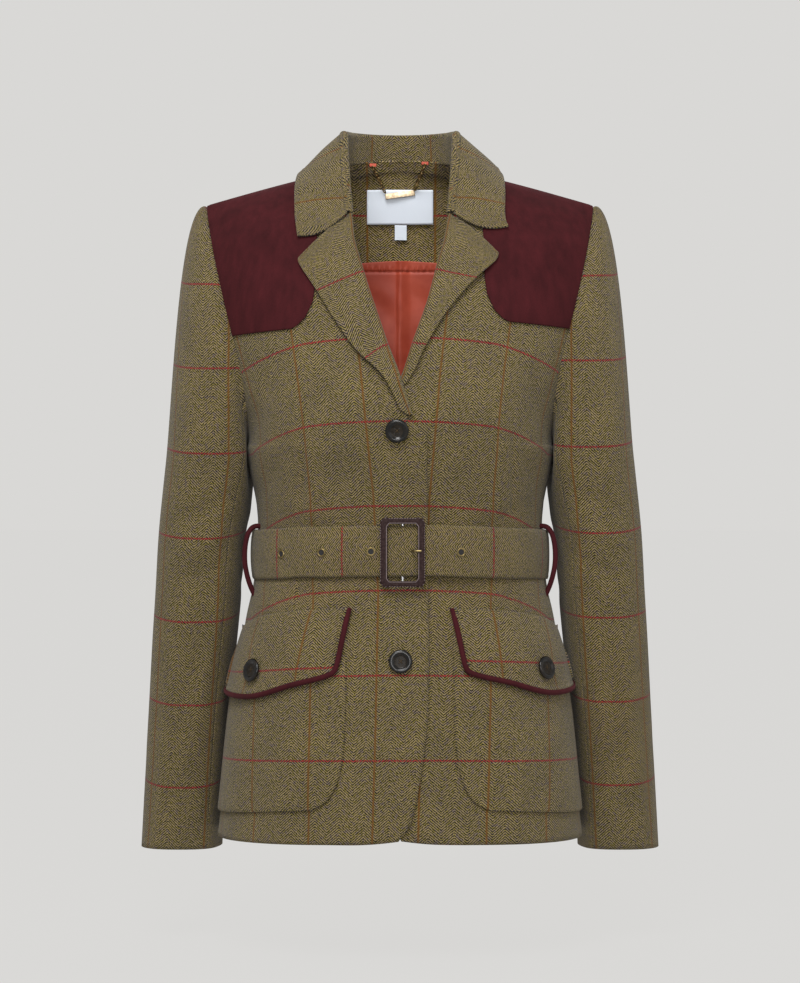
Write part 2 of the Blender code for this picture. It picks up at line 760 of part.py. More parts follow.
frame = bpy.data.curves.new("buckle_frame", "CURVE")
frame.dimensions = "2D"
frame.fill_mode = "BOTH"
frame.extrude = (FRAME_THICK / 2 - 0.8) * MM
frame.bevel_depth = 0.8 * MM
frame.bevel_resolution = 2
for outline in (rounded_outline(*FRAME_OUTER), rounded_outline(*FRAME_WINDOW)):
    spline = frame.splines.new("POLY")
    spline.points.add(len(outline) - 1)
    spline.use_cyclic_u = True
    for knot, (x, z) in zip(spline.points, outline):
        knot.co = (x * MM, z * MM, 0.0, 1.0)
buckle = add("buckle_frame", frame, ((0.045, 0.022, 0.022), 0.45))
buckle.location = Vector((BUCKLE_X, buckle_depth(BELT_OVER + 0.9 + FRAME_THICK / 2), BUCKLE_Z)) * MM
buckle.rotation_euler = (math.pi / 2, 0.0, 0.0)

bar_y = buckle_depth(BAR_LIFT)
rope("buckle_bar", [Vector((BUCKLE_X, bar_y, BUCKLE_Z + z)) for z in (-29.0, 29.0)], BAR_RADIUS,
     ((0.6, 0.6, 0.6), 0.3, 1.0))
prong_y = buckle_depth(BELT_OVER + 0.9 + FRAME_THICK + PRONG_RADIUS + 0.5)
rope("buckle_prong", [Vector((BUCKLE_X + 9.0, buckle_depth(BELT_OVER + 0.5 + PRONG_RADIUS), BUCKLE_Z + 1.5)),
                      Vector((BUCKLE_X + 11.5, prong_y, BUCKLE_Z + 1.5)),
                      Vector((BUCKLE_X + 17.5, prong_y, BUCKLE_Z + 1.5))], PRONG_RADIUS, BRASS_LOOK)


# Belt loops: suede cords standing off the belt, forward of each side seam
LOOP_TURN = 0.86
LOOP_RADIUS = 2.5
LOOP = ((34.0, 3.4), (31.5, 9.0), (27.0, 12.8), (18.0, 14.6), (0.0, 15.4), (-14.0, 15.4),
        (-26.0, 14.6), (-34.0, 13.0), (-42.0, 11.4))
for side, word in SIDES:
    points = [belt_point(LOOP_TURN, rise, lift)[0] for rise, lift in LOOP]
    rope("belt_loop_" + word, [mirrored(side, point) for point in points], LOOP_RADIUS, SUEDE_LOOK)


# Inside the back: tweed neck facing, satin lining with a centre pleat, label, size tab and hanger
FACING_FOOT = -84.0
FACING_HALF = 98.0
FACING_TOP = 17.0
FACING_EASE = 4.0
FACING_THICK = 1.4
FACING_LIFT = -(TWEED + 4 * LAYER + FACING_THICK)
LINING_LIFT = FACING_LIFT - LAYER - SATIN
LINING_TOP = -79.0
LINING_FOOT = -618.0
PLEAT = 2.5


def facing_place(u, v):
    x = (2.0 * u - 1.0) * FACING_HALF
    foot = level_at(BACK, 0.0, FACING_FOOT)
    level = foot + (min(nape_level(x) - 0.16, FACING_TOP) - foot) * v
    eased = FACING_EASE * ease(33, 50, abs(x)) * (1.0 - ease(75, 95, abs(x))) * ease(0.25, 0.6, v)
    return body(BACK, across_at(BACK, x, level), level, FACING_LIFT - eased)


def lining_place(u, v):
    across = (2.0 * u - 1.0) * 0.9
    foot, top = level_at(BACK, 0.0, LINING_FOOT), level_at(BACK, 0.0, LINING_TOP)
    level = foot + (top - foot) * v
    return body(BACK, across, level, LINING_LIFT - PLEAT * max(0.0, 1.0 - abs(across) * 9.0))


def tape_place(left, right, foot, top, lift):
    def place(u, v):
        return on(BACK, left + (right - left) * u, foot + (top - foot) * v, lift)
    return place


sheet("neck_facing", 10, 6, facing_place, FACING_THICK, TWEED_LOOK)
sheet("back_lining", 10, 9, lining_place, SATIN, SATIN_LOOK)
LABEL_LOOK = ((0.68, 0.71, 0.75), 0.6)
LABEL_LIFT = FACING_LIFT - 2.6
sheet("label", 6, 3, tape_place(-34.3, 34.3, -42.0, -8.0, LABEL_LIFT), 0.6, LABEL_LOOK)
sheet("size_tab", 2, 2, tape_place(-5.5, 7.0, -58.0, -42.8, LABEL_LIFT), 0.6, LABEL_LOOK)

HANGER_LIFT = LABEL_LIFT - 2.4
TAB = Vector((8.0, 1.2, 4.0))
TABS = {"left": Vector((25.0, 51.5, 13.5)), "right": Vector((-27.0, 50.0, 11.5))}
BAR_END = {"left": Vector((15.5, 0.0, -10.5)), "right": Vector((-16.0, 0.0, -13.0))}


def block(name, size, point, look, tilt=0.0):
    bpy.ops.mesh.primitive_cube_add(size=1.0)
    piece = bpy.context.object
    piece.name = name
    piece.scale = size * MM
    piece.location = point * MM
    piece.rotation_euler = (0.0, math.radians(tilt), 0.0)
    piece.data.materials.append(material(name, *look))
    for home in piece.users_collection:
        home.objects.unlink(piece)
    jacket.objects.link(piece)


for side, word in SIDES:
    tab, end = TABS[word], BAR_END[word]
    block("hanger_tab_" + word, TAB, tab, SATIN_LOOK)
    rope("hanger_chain_" + word, [tab + Vector((0.0, 0.0, -3.2)), on(BACK, end.x, end.z + 3.6, HANGER_LIFT)],
         0.7, BRASS_LOOK)

BAR_SIZE = Vector((30.0, 1.2, 7.0))
block("hanger_bar", BAR_SIZE, on(BACK, 0.0, -12.5, HANGER_LIFT), BRASS_LOOK, -3.0)
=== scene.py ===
"""Looks of a hollow tweed shooting jacket, worn shape with nobody in it. Tables are in millimetres."""
import math
from collections import namedtuple

import bmesh
import bpy
import numpy as np
from mathutils import Matrix, Vector


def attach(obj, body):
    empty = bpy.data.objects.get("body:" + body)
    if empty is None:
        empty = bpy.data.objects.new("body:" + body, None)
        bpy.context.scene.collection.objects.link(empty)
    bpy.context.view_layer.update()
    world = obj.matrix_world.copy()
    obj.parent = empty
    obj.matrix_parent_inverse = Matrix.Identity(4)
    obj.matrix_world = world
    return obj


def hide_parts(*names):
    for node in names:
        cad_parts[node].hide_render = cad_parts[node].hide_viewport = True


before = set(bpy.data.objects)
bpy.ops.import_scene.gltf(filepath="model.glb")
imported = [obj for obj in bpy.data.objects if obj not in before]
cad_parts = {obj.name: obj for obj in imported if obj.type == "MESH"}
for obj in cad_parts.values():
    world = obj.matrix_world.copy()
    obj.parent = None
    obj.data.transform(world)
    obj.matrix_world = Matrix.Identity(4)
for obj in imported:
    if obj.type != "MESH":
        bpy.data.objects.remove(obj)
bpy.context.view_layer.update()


# Studio: an even pale room with a pale floor under the jacket, a large soft lamp above on the left, a
# weak one on the right and one in front. The camera is level, straight in front of the waist.
PAPER = (0.694, 0.687, 0.672)
EYE = Vector((0.0, -2.8, -0.314))
LENS = 104.64
FLOOR_Z = -0.76

scene = bpy.context.scene
scene.view_settings.view_transform = "Standard"
view = bpy.data.cameras.new("camera")
view.lens = LENS
view.sensor_width = 36.0
camera = bpy.data.objects.new("camera", view)
camera.location = EYE
camera.rotation_euler = (math.pi / 2, 0.0, 0.0)
scene.collection.objects.link(camera)
scene.camera = camera

room = bpy.data.worlds.new("pale_room")
scene.world = room
room.use_nodes = True
room.node_tree.nodes["Background"].inputs["Color"].default_value = (*PAPER, 1.0)
room.node_tree.nodes["Background"].inputs["Strength"].default_value = 1.0

for name, place, size, power in (
    ("key", (-0.35, -2.1, 1.9), 1.3, 88.0),
    ("fill", (1.7, -1.9, 0.2), 1.6, 8.0),
    ("front", (0.1, -3.3, 0.15), 1.1, 36.0),
):
    lamp = bpy.data.lights.new(name, "AREA")
    lamp.size = size
    lamp.energy = power
    holder = bpy.data.objects.new(name, lamp)
    holder.location = place
    holder.rotation_euler = (Vector((0.0, 0.0, -0.3)) - Vector(place)).to_track_quat("-Z", "Y").to_euler()
    scene.collection.objects.link(holder)

ground = bmesh.new()
bmesh.ops.create_grid(ground, x_segments=1, y_segments=1, size=30.0)
bmesh.ops.translate(ground, verts=ground.verts, vec=(0.0, 0.0, FLOOR_Z))
floor_mesh = bpy.data.meshes.new("floor")
ground.to_mesh(floor_mesh)
ground.free()
floor = bpy.data.objects.new("floor", floor_mesh)
scene.collection.objects.link(floor)
paper = bpy.data.materials.new("floor_paper")
paper.use_nodes = True
paper_shader = paper.node_tree.nodes["Principled BSDF"]
paper_shader.inputs["Base Color"].default_value = (0.02, 0.02, 0.02, 1.0)
paper_shader.inputs["Roughness"].default_value = 1.0
paper_shader.inputs["Specular IOR Level"].default_value = 0.0
paper_shader.inputs["Emission Color"].default_value = (*PAPER, 1.0)
paper_shader.inputs["Emission Strength"].default_value = 0.97
floor_mesh.materials.append(paper)


# Fronts: two tweed panels from the front edge and lapel roll to the side seam and armhole. The wearer's
# right laps over. Waist darts and soft drags are pressed into a fine sheet with a 2 mm wall.
MM = 0.001
TWEED = 2.0
SEAM = 1.3
SIDES = ((1, "left"), (-1, "right"))
Section = namedtuple("Section", "height side_height half_width depth side_depth roundness turn")
Panel = namedtuple("Panel", "sections faces")
FRONT = Panel(np.array((
    Section(-644, -648, 178.0, 130, 0, 2.35, 90),
    Section(-600, -600, 172.5, 129, 0, 2.35, 90),
    Section(-520, -520, 164.0, 125, 0, 2.35, 90),
    Section(-440, -440, 151.0, 115, 0, 2.30, 90),
    Section(-400, -402, 143.0, 110, 0, 2.25, 90),
    Section(-350, -354, 139.0, 108, 0, 2.20, 90),
    Section(-320, -324, 141.0, 114, 0, 2.20, 90),
    Section(-275, -278, 150.0, 126, 0, 2.30, 90),
    Section(-262, -268, 149.0, 129, 12, 2.30, 86),
    Section(-245, -255, 147.5, 131, 33, 2.30, 78),
    Section(-222, -232, 148.0, 129, 51, 2.30, 68),
    Section(-190, -198, 153.0, 121, 60, 2.30, 62),
    Section(-155, -165, 160.0, 109, 59, 2.30, 60),
    Section(-115, -126, 170.0, 93, 51, 2.30, 60),
    Section(-65, -84, 180.0, 70, 33, 2.30, 60),
    Section(-25, -56, 186.0, 42, 14, 2.30, 60),
    Section(0, -43, 188.5, 18, 3, 2.30, 60),
    Section(7.5, -37.3, 189.3, 2, -2, 2.30, 60),
    Section(9, -36, 189.5, -8, -6, 2.30, 60),
), dtype=float), -1)
ARMPIT = 7
SHOULDER_CURVE = 1.25
NECK_HALF = 68.0
LAP = 3.4
HEM_RISE = 3.0
SKIRT_EDGE = ((-648, 3), (-641, 0), (-636, -5), (-627, -10), (-604, -15.5), (-561, -22),
              (-524, -26), (-470, -27), (-262, -25))
ROLL_EDGE = {
    "right": ((-246, -7), (-222, 2), (-202, 8), (-172, 19), (-148, 27), (-118, 37),
              (-84, 47.5), (-49, 59), (-25, 65), (-4, NECK_HALF)),
    "left": ((-240, -24), (-216, -3), (-203, 6), (-188, 13.5), (-172, 19.5), (-153, 26),
             (-135, 32.5), (-113, 38.5), (-86, 46.5), (-50, 59), (-25, 65), (-4, NECK_HALF)),
}
Crease = namedtuple("Crease", "x0 z0 x1 z1 width depth")
FRONT_CREASES = (
    Crease(-91, -262, -93, -335, 2.2, -2.2),
    Crease(-95, -398, -97, -424, 2.2, -2.0),
    Crease(108, -260, 107, -335, 2.2, -2.2),
    Crease(106, -398, 104, -424, 2.2, -2.0),
    Crease(-82, -300, -84, -340, 7.0, 1.2),
    Crease(98, -300, 97, -340, 7.0, 1.2),
    Crease(-58, -344, -122, -318, 9.0, 1.3),
    Crease(52, -346, 120, -314, 9.0, 1.3),
    Crease(-112, -280, -136, -322, 9.0, -1.6),
    Crease(116, -276, 138, -320, 9.0, -1.7),
    Crease(-42, -292, -22, -346, 9.0, -1.2),
    Crease(36, -290, 20, -346, 8.0, -1.0),
    Crease(-134, -408, -66, -399, 6.0, 1.6),
    Crease(134, -405, 68, -399, 6.0, 1.6),
    Crease(-52, -402, -40, -468, 8.0, -1.4),
    Crease(46, -402, 38, -470, 7.0, -1.6),
    Crease(-40, -480, -46, -645, 11.0, -2.0),
    Crease(37, -470, 43, -645, 9.0, -2.4),
    Crease(-20, -500, -14, -620, 12.0, 1.4),
    Crease(22, -500, 26, -640, 8.0, 1.6),
    Crease(-96, -520, -108, -645, 17.0, 1.8),
    Crease(99, -520, 114, -645, 15.0, 2.0),
    Crease(72, -510, 77, -645, 9.0, -1.2),
    Crease(-130, -540, -146, -645, 12.0, -1.5),
    Crease(-120, -196, -141, -262, 9.0, -1.8),
    Crease(118, -192, 142, -260, 9.0, -1.6),
    Crease(-66, -205, -34, -252, 15.0, 1.2),
    Crease(60, -200, 30, -250, 13.0, 1.0),
    Crease(-30, -262, -86, -285, 10.0, 1.0),
)
GRAIN = {
    "right": np.array(((-640, 26, 61), (-540, 23, 61.5), (-410, 20.5, 63.5), (-320, 25, 62), (-200, 37, 63),
                       (-60, 54, 63.0))),
    "left": np.array(((-640, 17, 65), (-540, 19, 65), (-410, 24, 64.5), (-320, 28, 63.5), (-200, 38, 62.5),
                      (-60, 55, 62.5))),
}
BROWN_PITCH, RED_PITCH = 60.0, 80.0
RED_ROW, RED_STEP, RED_DROOP = -407.0, 79.3, 13.0


def smooth(rows, place):
    """Rows of a curve through evenly spaced table rows, at places from 0 to the last row."""
    last = len(rows) - 1
    place = np.clip(np.asarray(place, float), 0.0, last)
    index = np.minimum(place.astype(int), last - 1)
    share = (place - index)[..., None]
    here, after = rows[index], rows[index + 1]
    before = np.where((index > 0)[..., None], rows[np.maximum(index - 1, 0)], 2 * here - after)
    beyond = np.where((index + 2 <= last)[..., None], rows[np.minimum(index + 2, last)], 2 * after - here)
    bend = 2 * before - 5 * here + 4 * after - beyond
    twist = 3 * here - before - 3 * after + beyond
    return here + 0.5 * share * ((after - before) + share * (bend + share * twist))


def lookup(rows, key):
    keys, values = zip(*rows)
    return np.interp(key, keys, values)


def ease(start, end, value):
    share = np.clip((np.asarray(value, float) - start) / (end - start), 0.0, 1.0)
    return share * share * (3.0 - 2.0 * share)


def bare(panel, across, level):
    rows = np.moveaxis(smooth(panel.sections, level), -1, 0)
    height, side_height, half_width, depth, side_depth, roundness, turn = rows
    power = 2.0 / roundness
    turn = np.radians(turn)
    angle = np.abs(across) * turn
    share = (np.sin(angle) / np.sin(turn)) ** power
    end = np.maximum(np.cos(turn), 0.0) ** power
    bulge = (np.maximum(np.cos(angle), 0.0) ** power - end) / (1.0 - end)
    y = side_depth + (depth - side_depth) * bulge + SEAM / 2
    z = height + (side_height - height) * share ** SHOULDER_CURVE
    return np.stack((np.copysign(half_width * share, across), panel.faces * y, z), axis=-1)


def alike(*values):
    """Numbers and arrays as arrays of floats of one shape."""
    return np.broadcast_arrays(*(np.asarray(value, float) for value in values))


def body(panel, across, level, lift=0.0):
    """Points of a body panel: across -1 to 1 from side to side, level from hem to shoulder seam."""
    across, level, lift = alike(across, level, lift)
    step, top = 0.004, len(panel.sections) - 1.0
    sideways = bare(panel, np.minimum(across + step, 1.0), level)
    sideways = sideways - bare(panel, np.maximum(across - step, -1.0), level)
    upwards = bare(panel, across, np.minimum(level + step, top))
    upwards = upwards - bare(panel, across, np.maximum(level - step, 0.0))
    normal = np.cross(sideways, upwards)
    normal /= np.maximum(np.linalg.norm(normal, axis=-1, keepdims=True), 1e-9)
    return bare(panel, across, level) - normal * (panel.faces * lift)[..., None]


def across_at(panel, x, level):
    half_width, roundness, turn = np.moveaxis(smooth(panel.sections, level)[..., [2, 5, 6]], -1, 0)
    turn = np.radians(turn)
    share = np.minimum(np.abs(x) / half_width, 1.0) ** (roundness / 2.0)
    return np.copysign(np.arcsin(share * np.sin(turn)) / turn, x)


def level_at(panel, x, z):
    """Level at which the panel is at height z, at the distance x from the centre line."""
    x, z = np.broadcast_arrays(np.asarray(x, float), np.asarray(z, float))
    low, high = np.zeros(x.shape), np.full(x.shape, len(panel.sections) - 1.0)
    for _ in range(26):
        level = (low + high) / 2
        rows = smooth(panel.sections, level)
        share = np.minimum(np.abs(x) / rows[..., 2], 1.0)
        below = rows[..., 0] + (rows[..., 1] - rows[..., 0]) * share ** SHOULDER_CURVE < z
        low, high = np.where(below, level, low), np.where(below, high, level)
    return (low + high) / 2


def on(panel, x, z, lift=0.0):
    level = level_at(panel, x, z)
    return body(panel, across_at(panel, x, level), level, lift)


def creased(creases, x, z):
    """How far soft ridges and troughs carry the cloth out, at the places x, z."""
    out = np.zeros(np.shape(x))
    for crease in creases:
        run_x, run_z = crease.x1 - crease.x0, crease.z1 - crease.z0
        along = ((x - crease.x0) * run_x + (z - crease.z0) * run_z) / (run_x ** 2 + run_z ** 2)
        near = np.clip(along, 0.0, 1.0)
        gap = np.hypot(x - crease.x0 - near * run_x, z - crease.z0 - near * run_z)
        fade = np.sin(np.pi * np.clip(0.12 + 0.76 * near, 0.0, 1.0))
        out += crease.depth * fade * np.exp(-(gap / crease.width) ** 2)
    return out


def arc_from_centre(panel, across, level):
    shares = np.linspace(0.0, 1.0, 17)
    steps = bare(panel, across[:, None] * shares, np.repeat(level[:, None], 17, axis=1))
    return np.linalg.norm(np.diff(steps[..., :2], axis=1), axis=-1).sum(axis=1)


def calc(tree, operation, *values):
    """Math node on sockets or numbers."""
    made = tree.nodes.new("ShaderNodeMath")
    made.operation = operation
    for socket, value in zip(made.inputs, values):
        if isinstance(value, (int, float)):
            socket.default_value = value
        else:
            tree.links.new(value, socket)
    return made.outputs[0]


def mixed(tree, share, first, second):
    """Colour between two colours or sockets."""
    made = tree.nodes.new("ShaderNodeMix")
    made.data_type = "RGBA"
    for socket, value in ((made.inputs[0], share), (made.inputs[6], first), (made.inputs[7], second)):
        if isinstance(value, (int, float)):
            socket.default_value = value
        elif isinstance(value, tuple):
            socket.default_value = (*value, 1.0)
        else:
            tree.links.new(value, socket)
    return made.outputs[2]


def speckle(tree, vector, scale, detail=2.0):
    made = tree.nodes.new("ShaderNodeTexNoise")
    made.inputs["Scale"].default_value = scale
    made.inputs["Detail"].default_value = detail
    tree.links.new(vector, made.inputs["Vector"])
    return made.outputs["Fac"]


def band(tree, value, low, high):
    """0 below low, 1 above high, soft between."""
    made = tree.nodes.new("ShaderNodeMapRange")
    made.interpolation_type = "SMOOTHSTEP"
    made.inputs["From Min"].default_value = low
    made.inputs["From Max"].default_value = high
    tree.links.new(value, made.inputs["Value"])
    return made.outputs["Result"]


def bumped(tree, shader, height, depth, strength):
    made = tree.nodes.new("ShaderNodeBump")
    made.inputs["Distance"].default_value = depth
    made.inputs["Strength"].default_value = strength
    tree.links.new(height, made.inputs["Height"])
    tree.links.new(made.outputs["Normal"], shader.inputs["Normal"])


def started(name, roughness, metallic=0.0):
    made = bpy.data.materials.new(name)
    made.use_nodes = True
    shader = made.node_tree.nodes["Principled BSDF"]
    shader.inputs["Roughness"].default_value = roughness
    shader.inputs["Metallic"].default_value = metallic
    return made, made.node_tree, shader


COLUMN = 11.4
TWILL = 2.5
LIGHT_YARN = (0.182, 0.138, 0.062)
DARK_YARN = (0.003, 0.0022, 0.0014)
OCHRE_YARN = (0.13, 0.103, 0.02)
SLATE_YARN = (0.02, 0.016, 0.015)
MAUVE_YARN = (0.132, 0.1, 0.074)
RED_YARN = (0.2, 0.007, 0.011)
BROWN_YARN = (0.105, 0.043, 0.004)


def line_each(tree, place, pitch, core, rim):
    """One on the lines of a check, a pitch apart, fading to nought from core to rim beside them."""
    turns = calc(tree, "FRACT", calc(tree, "MULTIPLY_ADD", place, 1 / pitch, 0.5))
    beside = calc(tree, "MULTIPLY", calc(tree, "ABSOLUTE", calc(tree, "SUBTRACT", turns, 0.5)), pitch)
    return calc(tree, "SUBTRACT", 1.0, band(tree, beside, core, rim))


def woven_tweed(name, painted_light_gain):
    """Herringbone in two yarns, flecked, with a brown line each 60 mm and a red line each 80 mm."""
    made, tree, shader = started(name, 0.92)
    threads = tree.nodes.new("ShaderNodeUVMap")
    threads.uv_map = "weave"
    scaled = tree.nodes.new("ShaderNodeVectorMath")
    scaled.operation = "SCALE"
    scaled.inputs["Scale"].default_value = 1000.0
    tree.links.new(threads.outputs["UV"], scaled.inputs[0])
    split = tree.nodes.new("ShaderNodeSeparateXYZ")
    tree.links.new(scaled.outputs[0], split.inputs[0])
    across, along = split.outputs[0], split.outputs[1]
    panes = tree.nodes.new("ShaderNodeUVMap")
    panes.uv_map = "check"
    pane = tree.nodes.new("ShaderNodeSeparateXYZ")
    tree.links.new(panes.outputs["UV"], pane.inputs[0])
    pane_across, pane_along = (calc(tree, "MULTIPLY", pane.outputs[axis], 1000.0) for axis in (0, 1))
    flecks = speckle(tree, scaled.outputs[0], 0.42, 1.0)
    hairs = speckle(tree, scaled.outputs[0], 1.1, 2.0)
    clouds = speckle(tree, scaled.outputs[0], 0.03, 3.0)
    wave = calc(tree, "PINGPONG", across, COLUMN)
    wander = calc(tree, "MULTIPLY", calc(tree, "SUBTRACT", flecks, 0.5), 1.5)
    climb = calc(tree, "ADD", calc(tree, "MULTIPLY_ADD", wave, 0.92, along), wander)
    ribs = calc(tree, "SINE", calc(tree, "MULTIPLY", climb, 2 * math.pi / TWILL))
    twill = calc(tree, "MULTIPLY_ADD", ribs, 0.5, 0.5)
    face = band(tree, calc(tree, "MULTIPLY_ADD", calc(tree, "SUBTRACT", hairs, 0.5), 2.2, twill), 0.28, 0.72)
    light = mixed(tree, band(tree, flecks, 0.5, 0.6), LIGHT_YARN, OCHRE_YARN)
    light = mixed(tree, band(tree, speckle(tree, scaled.outputs[0], 0.27, 2.0), 0.56, 0.62), light, MAUVE_YARN)
    dark = mixed(tree, band(tree, flecks, 0.36, 0.52), SLATE_YARN, DARK_YARN)
    colour = mixed(tree, face, dark, light)
    red = line_each(tree, pane_along, RED_PITCH, 0.6, 1.3)
    red = calc(tree, "MULTIPLY", red, band(tree, twill, 0.3, 0.8))
    brown = line_each(tree, pane_across, BROWN_PITCH, 0.5, 1.3)
    shown = calc(tree, "MULTIPLY_ADD", band(tree, twill, 0.1, 0.8), 0.5, 0.45)
    brown = calc(tree, "MULTIPLY", brown, shown)
    colour = mixed(tree, brown, colour, BROWN_YARN)
    colour = mixed(tree, red, colour, RED_YARN)
    # The gain multiplies every yarn colour: above 1 it paints the cloth lighter as painted light, and 1 leaves the
    # colours as they are.
    dull, bright = (0.9 * painted_light_gain, 0.9 * painted_light_gain, 0.92 * painted_light_gain), (1.06 * painted_light_gain, 1.05 * painted_light_gain, painted_light_gain)
    shade = mixed(tree, band(tree, clouds, 0.3, 0.7), dull, bright)
    tint = tree.nodes.new("ShaderNodeMix")
    tint.data_type = "RGBA"
    tint.blend_type = "MULTIPLY"
    tint.inputs[0].default_value = 1.0
    tree.links.new(colour, tint.inputs[6])
    tree.links.new(shade, tint.inputs[7])
    tree.links.new(tint.outputs[2], shader.inputs["Base Color"])
    shader.inputs["Specular IOR Level"].default_value = 0.15
    shader.inputs["Sheen Weight"].default_value = 0.08
    shader.inputs["Sheen Roughness"].default_value = 0.6
    raised = calc(tree, "MULTIPLY_ADD", twill, 0.6, calc(tree, "MULTIPLY", hairs, 0.5))
    bumped(tree, shader, raised, 0.0005, 0.55)
    return made


TWEED_CLOTH = woven_tweed("herringbone_tweed", 1.0)


def placed(name, mesh, finish, node):
    """Object that stands for a CAD node and takes one finish."""
    piece = bpy.data.objects.new(name, mesh)
    for look in finish if isinstance(finish, (list, tuple)) else (finish,):
        mesh.materials.append(look)
    scene.collection.objects.link(piece)
    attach(piece, "root")
    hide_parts(node)
    return piece


def cloth(node, columns, rows, place, weave, thickness, finish, relief=None, flip=False):
    """Thin shell on a fine grid: place gives its outer points, weave its threads and, after them, its check."""
    grid = bmesh.new()
    bmesh.ops.create_grid(grid, x_segments=columns, y_segments=rows, size=0.5)
    flat = np.array([vert.co[:2] for vert in grid.verts]) + 0.5
    u, v = flat[:, 0], flat[:, 1]
    points = place(u, v)
    for vert, point in zip(grid.verts, points * MM):
        vert.co = point
    if flip:
        bmesh.ops.reverse_faces(grid, faces=grid.faces)
    threads = weave(u, v, points)
    if relief is not None:
        grid.normal_update()
        for vert, out in zip(grid.verts, relief(u, v, points) * MM):
            vert.co += vert.normal * float(out)
    mesh = bpy.data.meshes.new(node)
    grid.to_mesh(mesh)
    grid.free()
    corner = np.zeros(len(mesh.loops), int)
    mesh.loops.foreach_get("vertex_index", corner)
    for name, columns in (("weave", threads[:, :2]), ("check", threads[:, -2:])):
        mesh.uv_layers.new(name=name).data.foreach_set("uv", (columns[corner] * MM).ravel())
    mesh.shade_smooth()
    piece = placed(node + "_cloth", mesh, finish, node)
    wall = piece.modifiers.new("wall", "SOLIDIFY")
    wall.thickness = thickness * MM
    wall.offset = -1.0
    return piece


def mirrored(side, points):
    return points * np.array((side, 1.0, 1.0))


SIDE_DROP = 9.0


def lap_lift(side, x, z):
    return LAP * (1.0 - ease(42, 72, x)) * (1.0 - ease(-205, -170, z)) if side < 0 else np.zeros(np.shape(x))


def front_place(side, word):
    edge = SKIRT_EDGE + ROLL_EDGE[word]

    def place(u, v):
        level = v * (len(FRONT.sections) - 1.0)
        inner = lookup(edge, smooth(FRONT.sections, level)[:, 0])
        for _ in range(5):
            inner = lookup(edge, bare(FRONT, across_at(FRONT, inner, level), level)[:, 2])
        start = across_at(FRONT, inner, level)
        across = 1.0 - (1.0 - start) * (1.0 - u) ** 1.2
        spot = bare(FRONT, across, level)
        points = body(FRONT, across, level, lap_lift(side, spot[:, 0], spot[:, 2]))
        corner = np.maximum(0.0, 1.0 - (spot[:, 0] - inner) / 45.0) ** 2
        points[:, 2] += HEM_RISE * corner * np.maximum(0.0, 1.0 - (spot[:, 2] + 644.0) / 60.0)
        return mirrored(side, points)
    return place


def front_threads(side, word, across, level, z, droop, dart):
    arc = np.copysign(arc_from_centre(FRONT, across, level), across)
    first, pitch = (np.interp(z, GRAIN[word][:, 0], GRAIN[word][:, column]) for column in (1, 2))
    fall = droop * np.sin(across * np.pi / 2) ** 2 + dart * np.clip((arc - 88.0) / 52.0, 0.0, 1.6) ** 1.5
    warp = side * BROWN_PITCH * (1.0 + (arc - first) / pitch)
    return np.stack((warp, z, warp, RED_PITCH * (z + fall - RED_ROW) / RED_STEP), axis=-1)


def front_weave(side, word):
    def weave(u, v, points):
        x, z = points[:, 0] * side, points[:, 2]
        level = level_at(FRONT, x, z)
        return front_threads(side, word, across_at(FRONT, x, level), level, z, RED_DROOP, SIDE_DROP)
    return weave


def front_fall(u, v, points):
    return creased(FRONT_CREASES, points[:, 0], points[:, 2])


for side, word in SIDES:
    panel = cloth("front_" + word, 104, 180, front_place(side, word), front_weave(side, word),
                  TWEED, TWEED_CLOTH, front_fall, flip=side < 0)


# Back: one tweed panel between the side seams, cut to the neckline and shaped in at the waist, with
# soft folds above and below the belt like those in front.
BACK = Panel(np.array((
    Section(-644, -648, 178.0, 122, 0, 2.35, 90),
    Section(-600, -600, 172.5, 122, 0, 2.35, 90),
    Section(-520, -520, 164.0, 118, 0, 2.35, 90),
    Section(-440, -440, 151.0, 102, 0, 2.30, 90),
    Section(-400, -402, 143.0, 92, 0, 2.25, 90),
    Section(-350, -354, 139.0, 85, 0, 2.20, 90),
    Section(-320, -324, 141.0, 87, 0, 2.20, 90),
    Section(-275, -278, 150.0, 96, 0, 2.30, 90),
    Section(-262, -268, 149.0, 98, 12, 2.30, 86),
    Section(-245, -255, 149.0, 100, 32, 2.30, 78),
    Section(-222, -232, 151.0, 103, 50, 2.30, 68),
    Section(-190, -198, 157.0, 106, 58, 2.30, 62),
    Section(-155, -165, 164.0, 107, 58, 2.30, 60),
    Section(-115, -126, 173.0, 105, 50, 2.30, 60),
    Section(-65, -84, 181.5, 98, 36, 2.30, 60),
    Section(-25, -56, 186.5, 87, 22, 2.30, 60),
    Section(8, -44, 188.5, 76, 14, 2.30, 60),
    Section(16, -38, 189.2, 60, 9, 2.30, 60),
    Section(16, -36.4, 189.5, 34, 7, 2.30, 60),
    Section(9, -36, 189.5, 8, 6, 2.30, 60),
), dtype=float), 1)
NAPE = 16.5
BACK_CREASES = (
    Crease(0, -40, 0, -640, 1.6, -0.9),
    Crease(-62, -262, -66, -340, 2.2, -1.4),
    Crease(62, -262, 66, -340, 2.2, -1.4),
    Crease(-40, -320, -100, -345, 9.0, 1.4),
    Crease(36, -316, 96, -344, 9.0, 1.5),
    Crease(-110, -290, -132, -330, 9.0, -1.6),
    Crease(112, -286, 134, -330, 9.0, -1.5),
    Crease(-30, -404, -38, -500, 9.0, -1.6),
    Crease(42, -402, 50, -520, 10.0, -1.8),
    Crease(-90, -410, -104, -560, 13.0, 1.8),
    Crease(94, -410, 100, -600, 14.0, 1.7),
    Crease(10, -480, 16, -645, 13.0, 1.5),
    Crease(-56, -520, -64, -645, 11.0, -1.8),
    Crease(-130, -120, -146, -230, 11.0, -1.8),
    Crease(128, -120, 148, -235, 12.0, -1.7),
    Crease(-60, -110, -96, -200, 15.0, 1.3),
    Crease(70, -120, 100, -210, 15.0, 1.2),
)


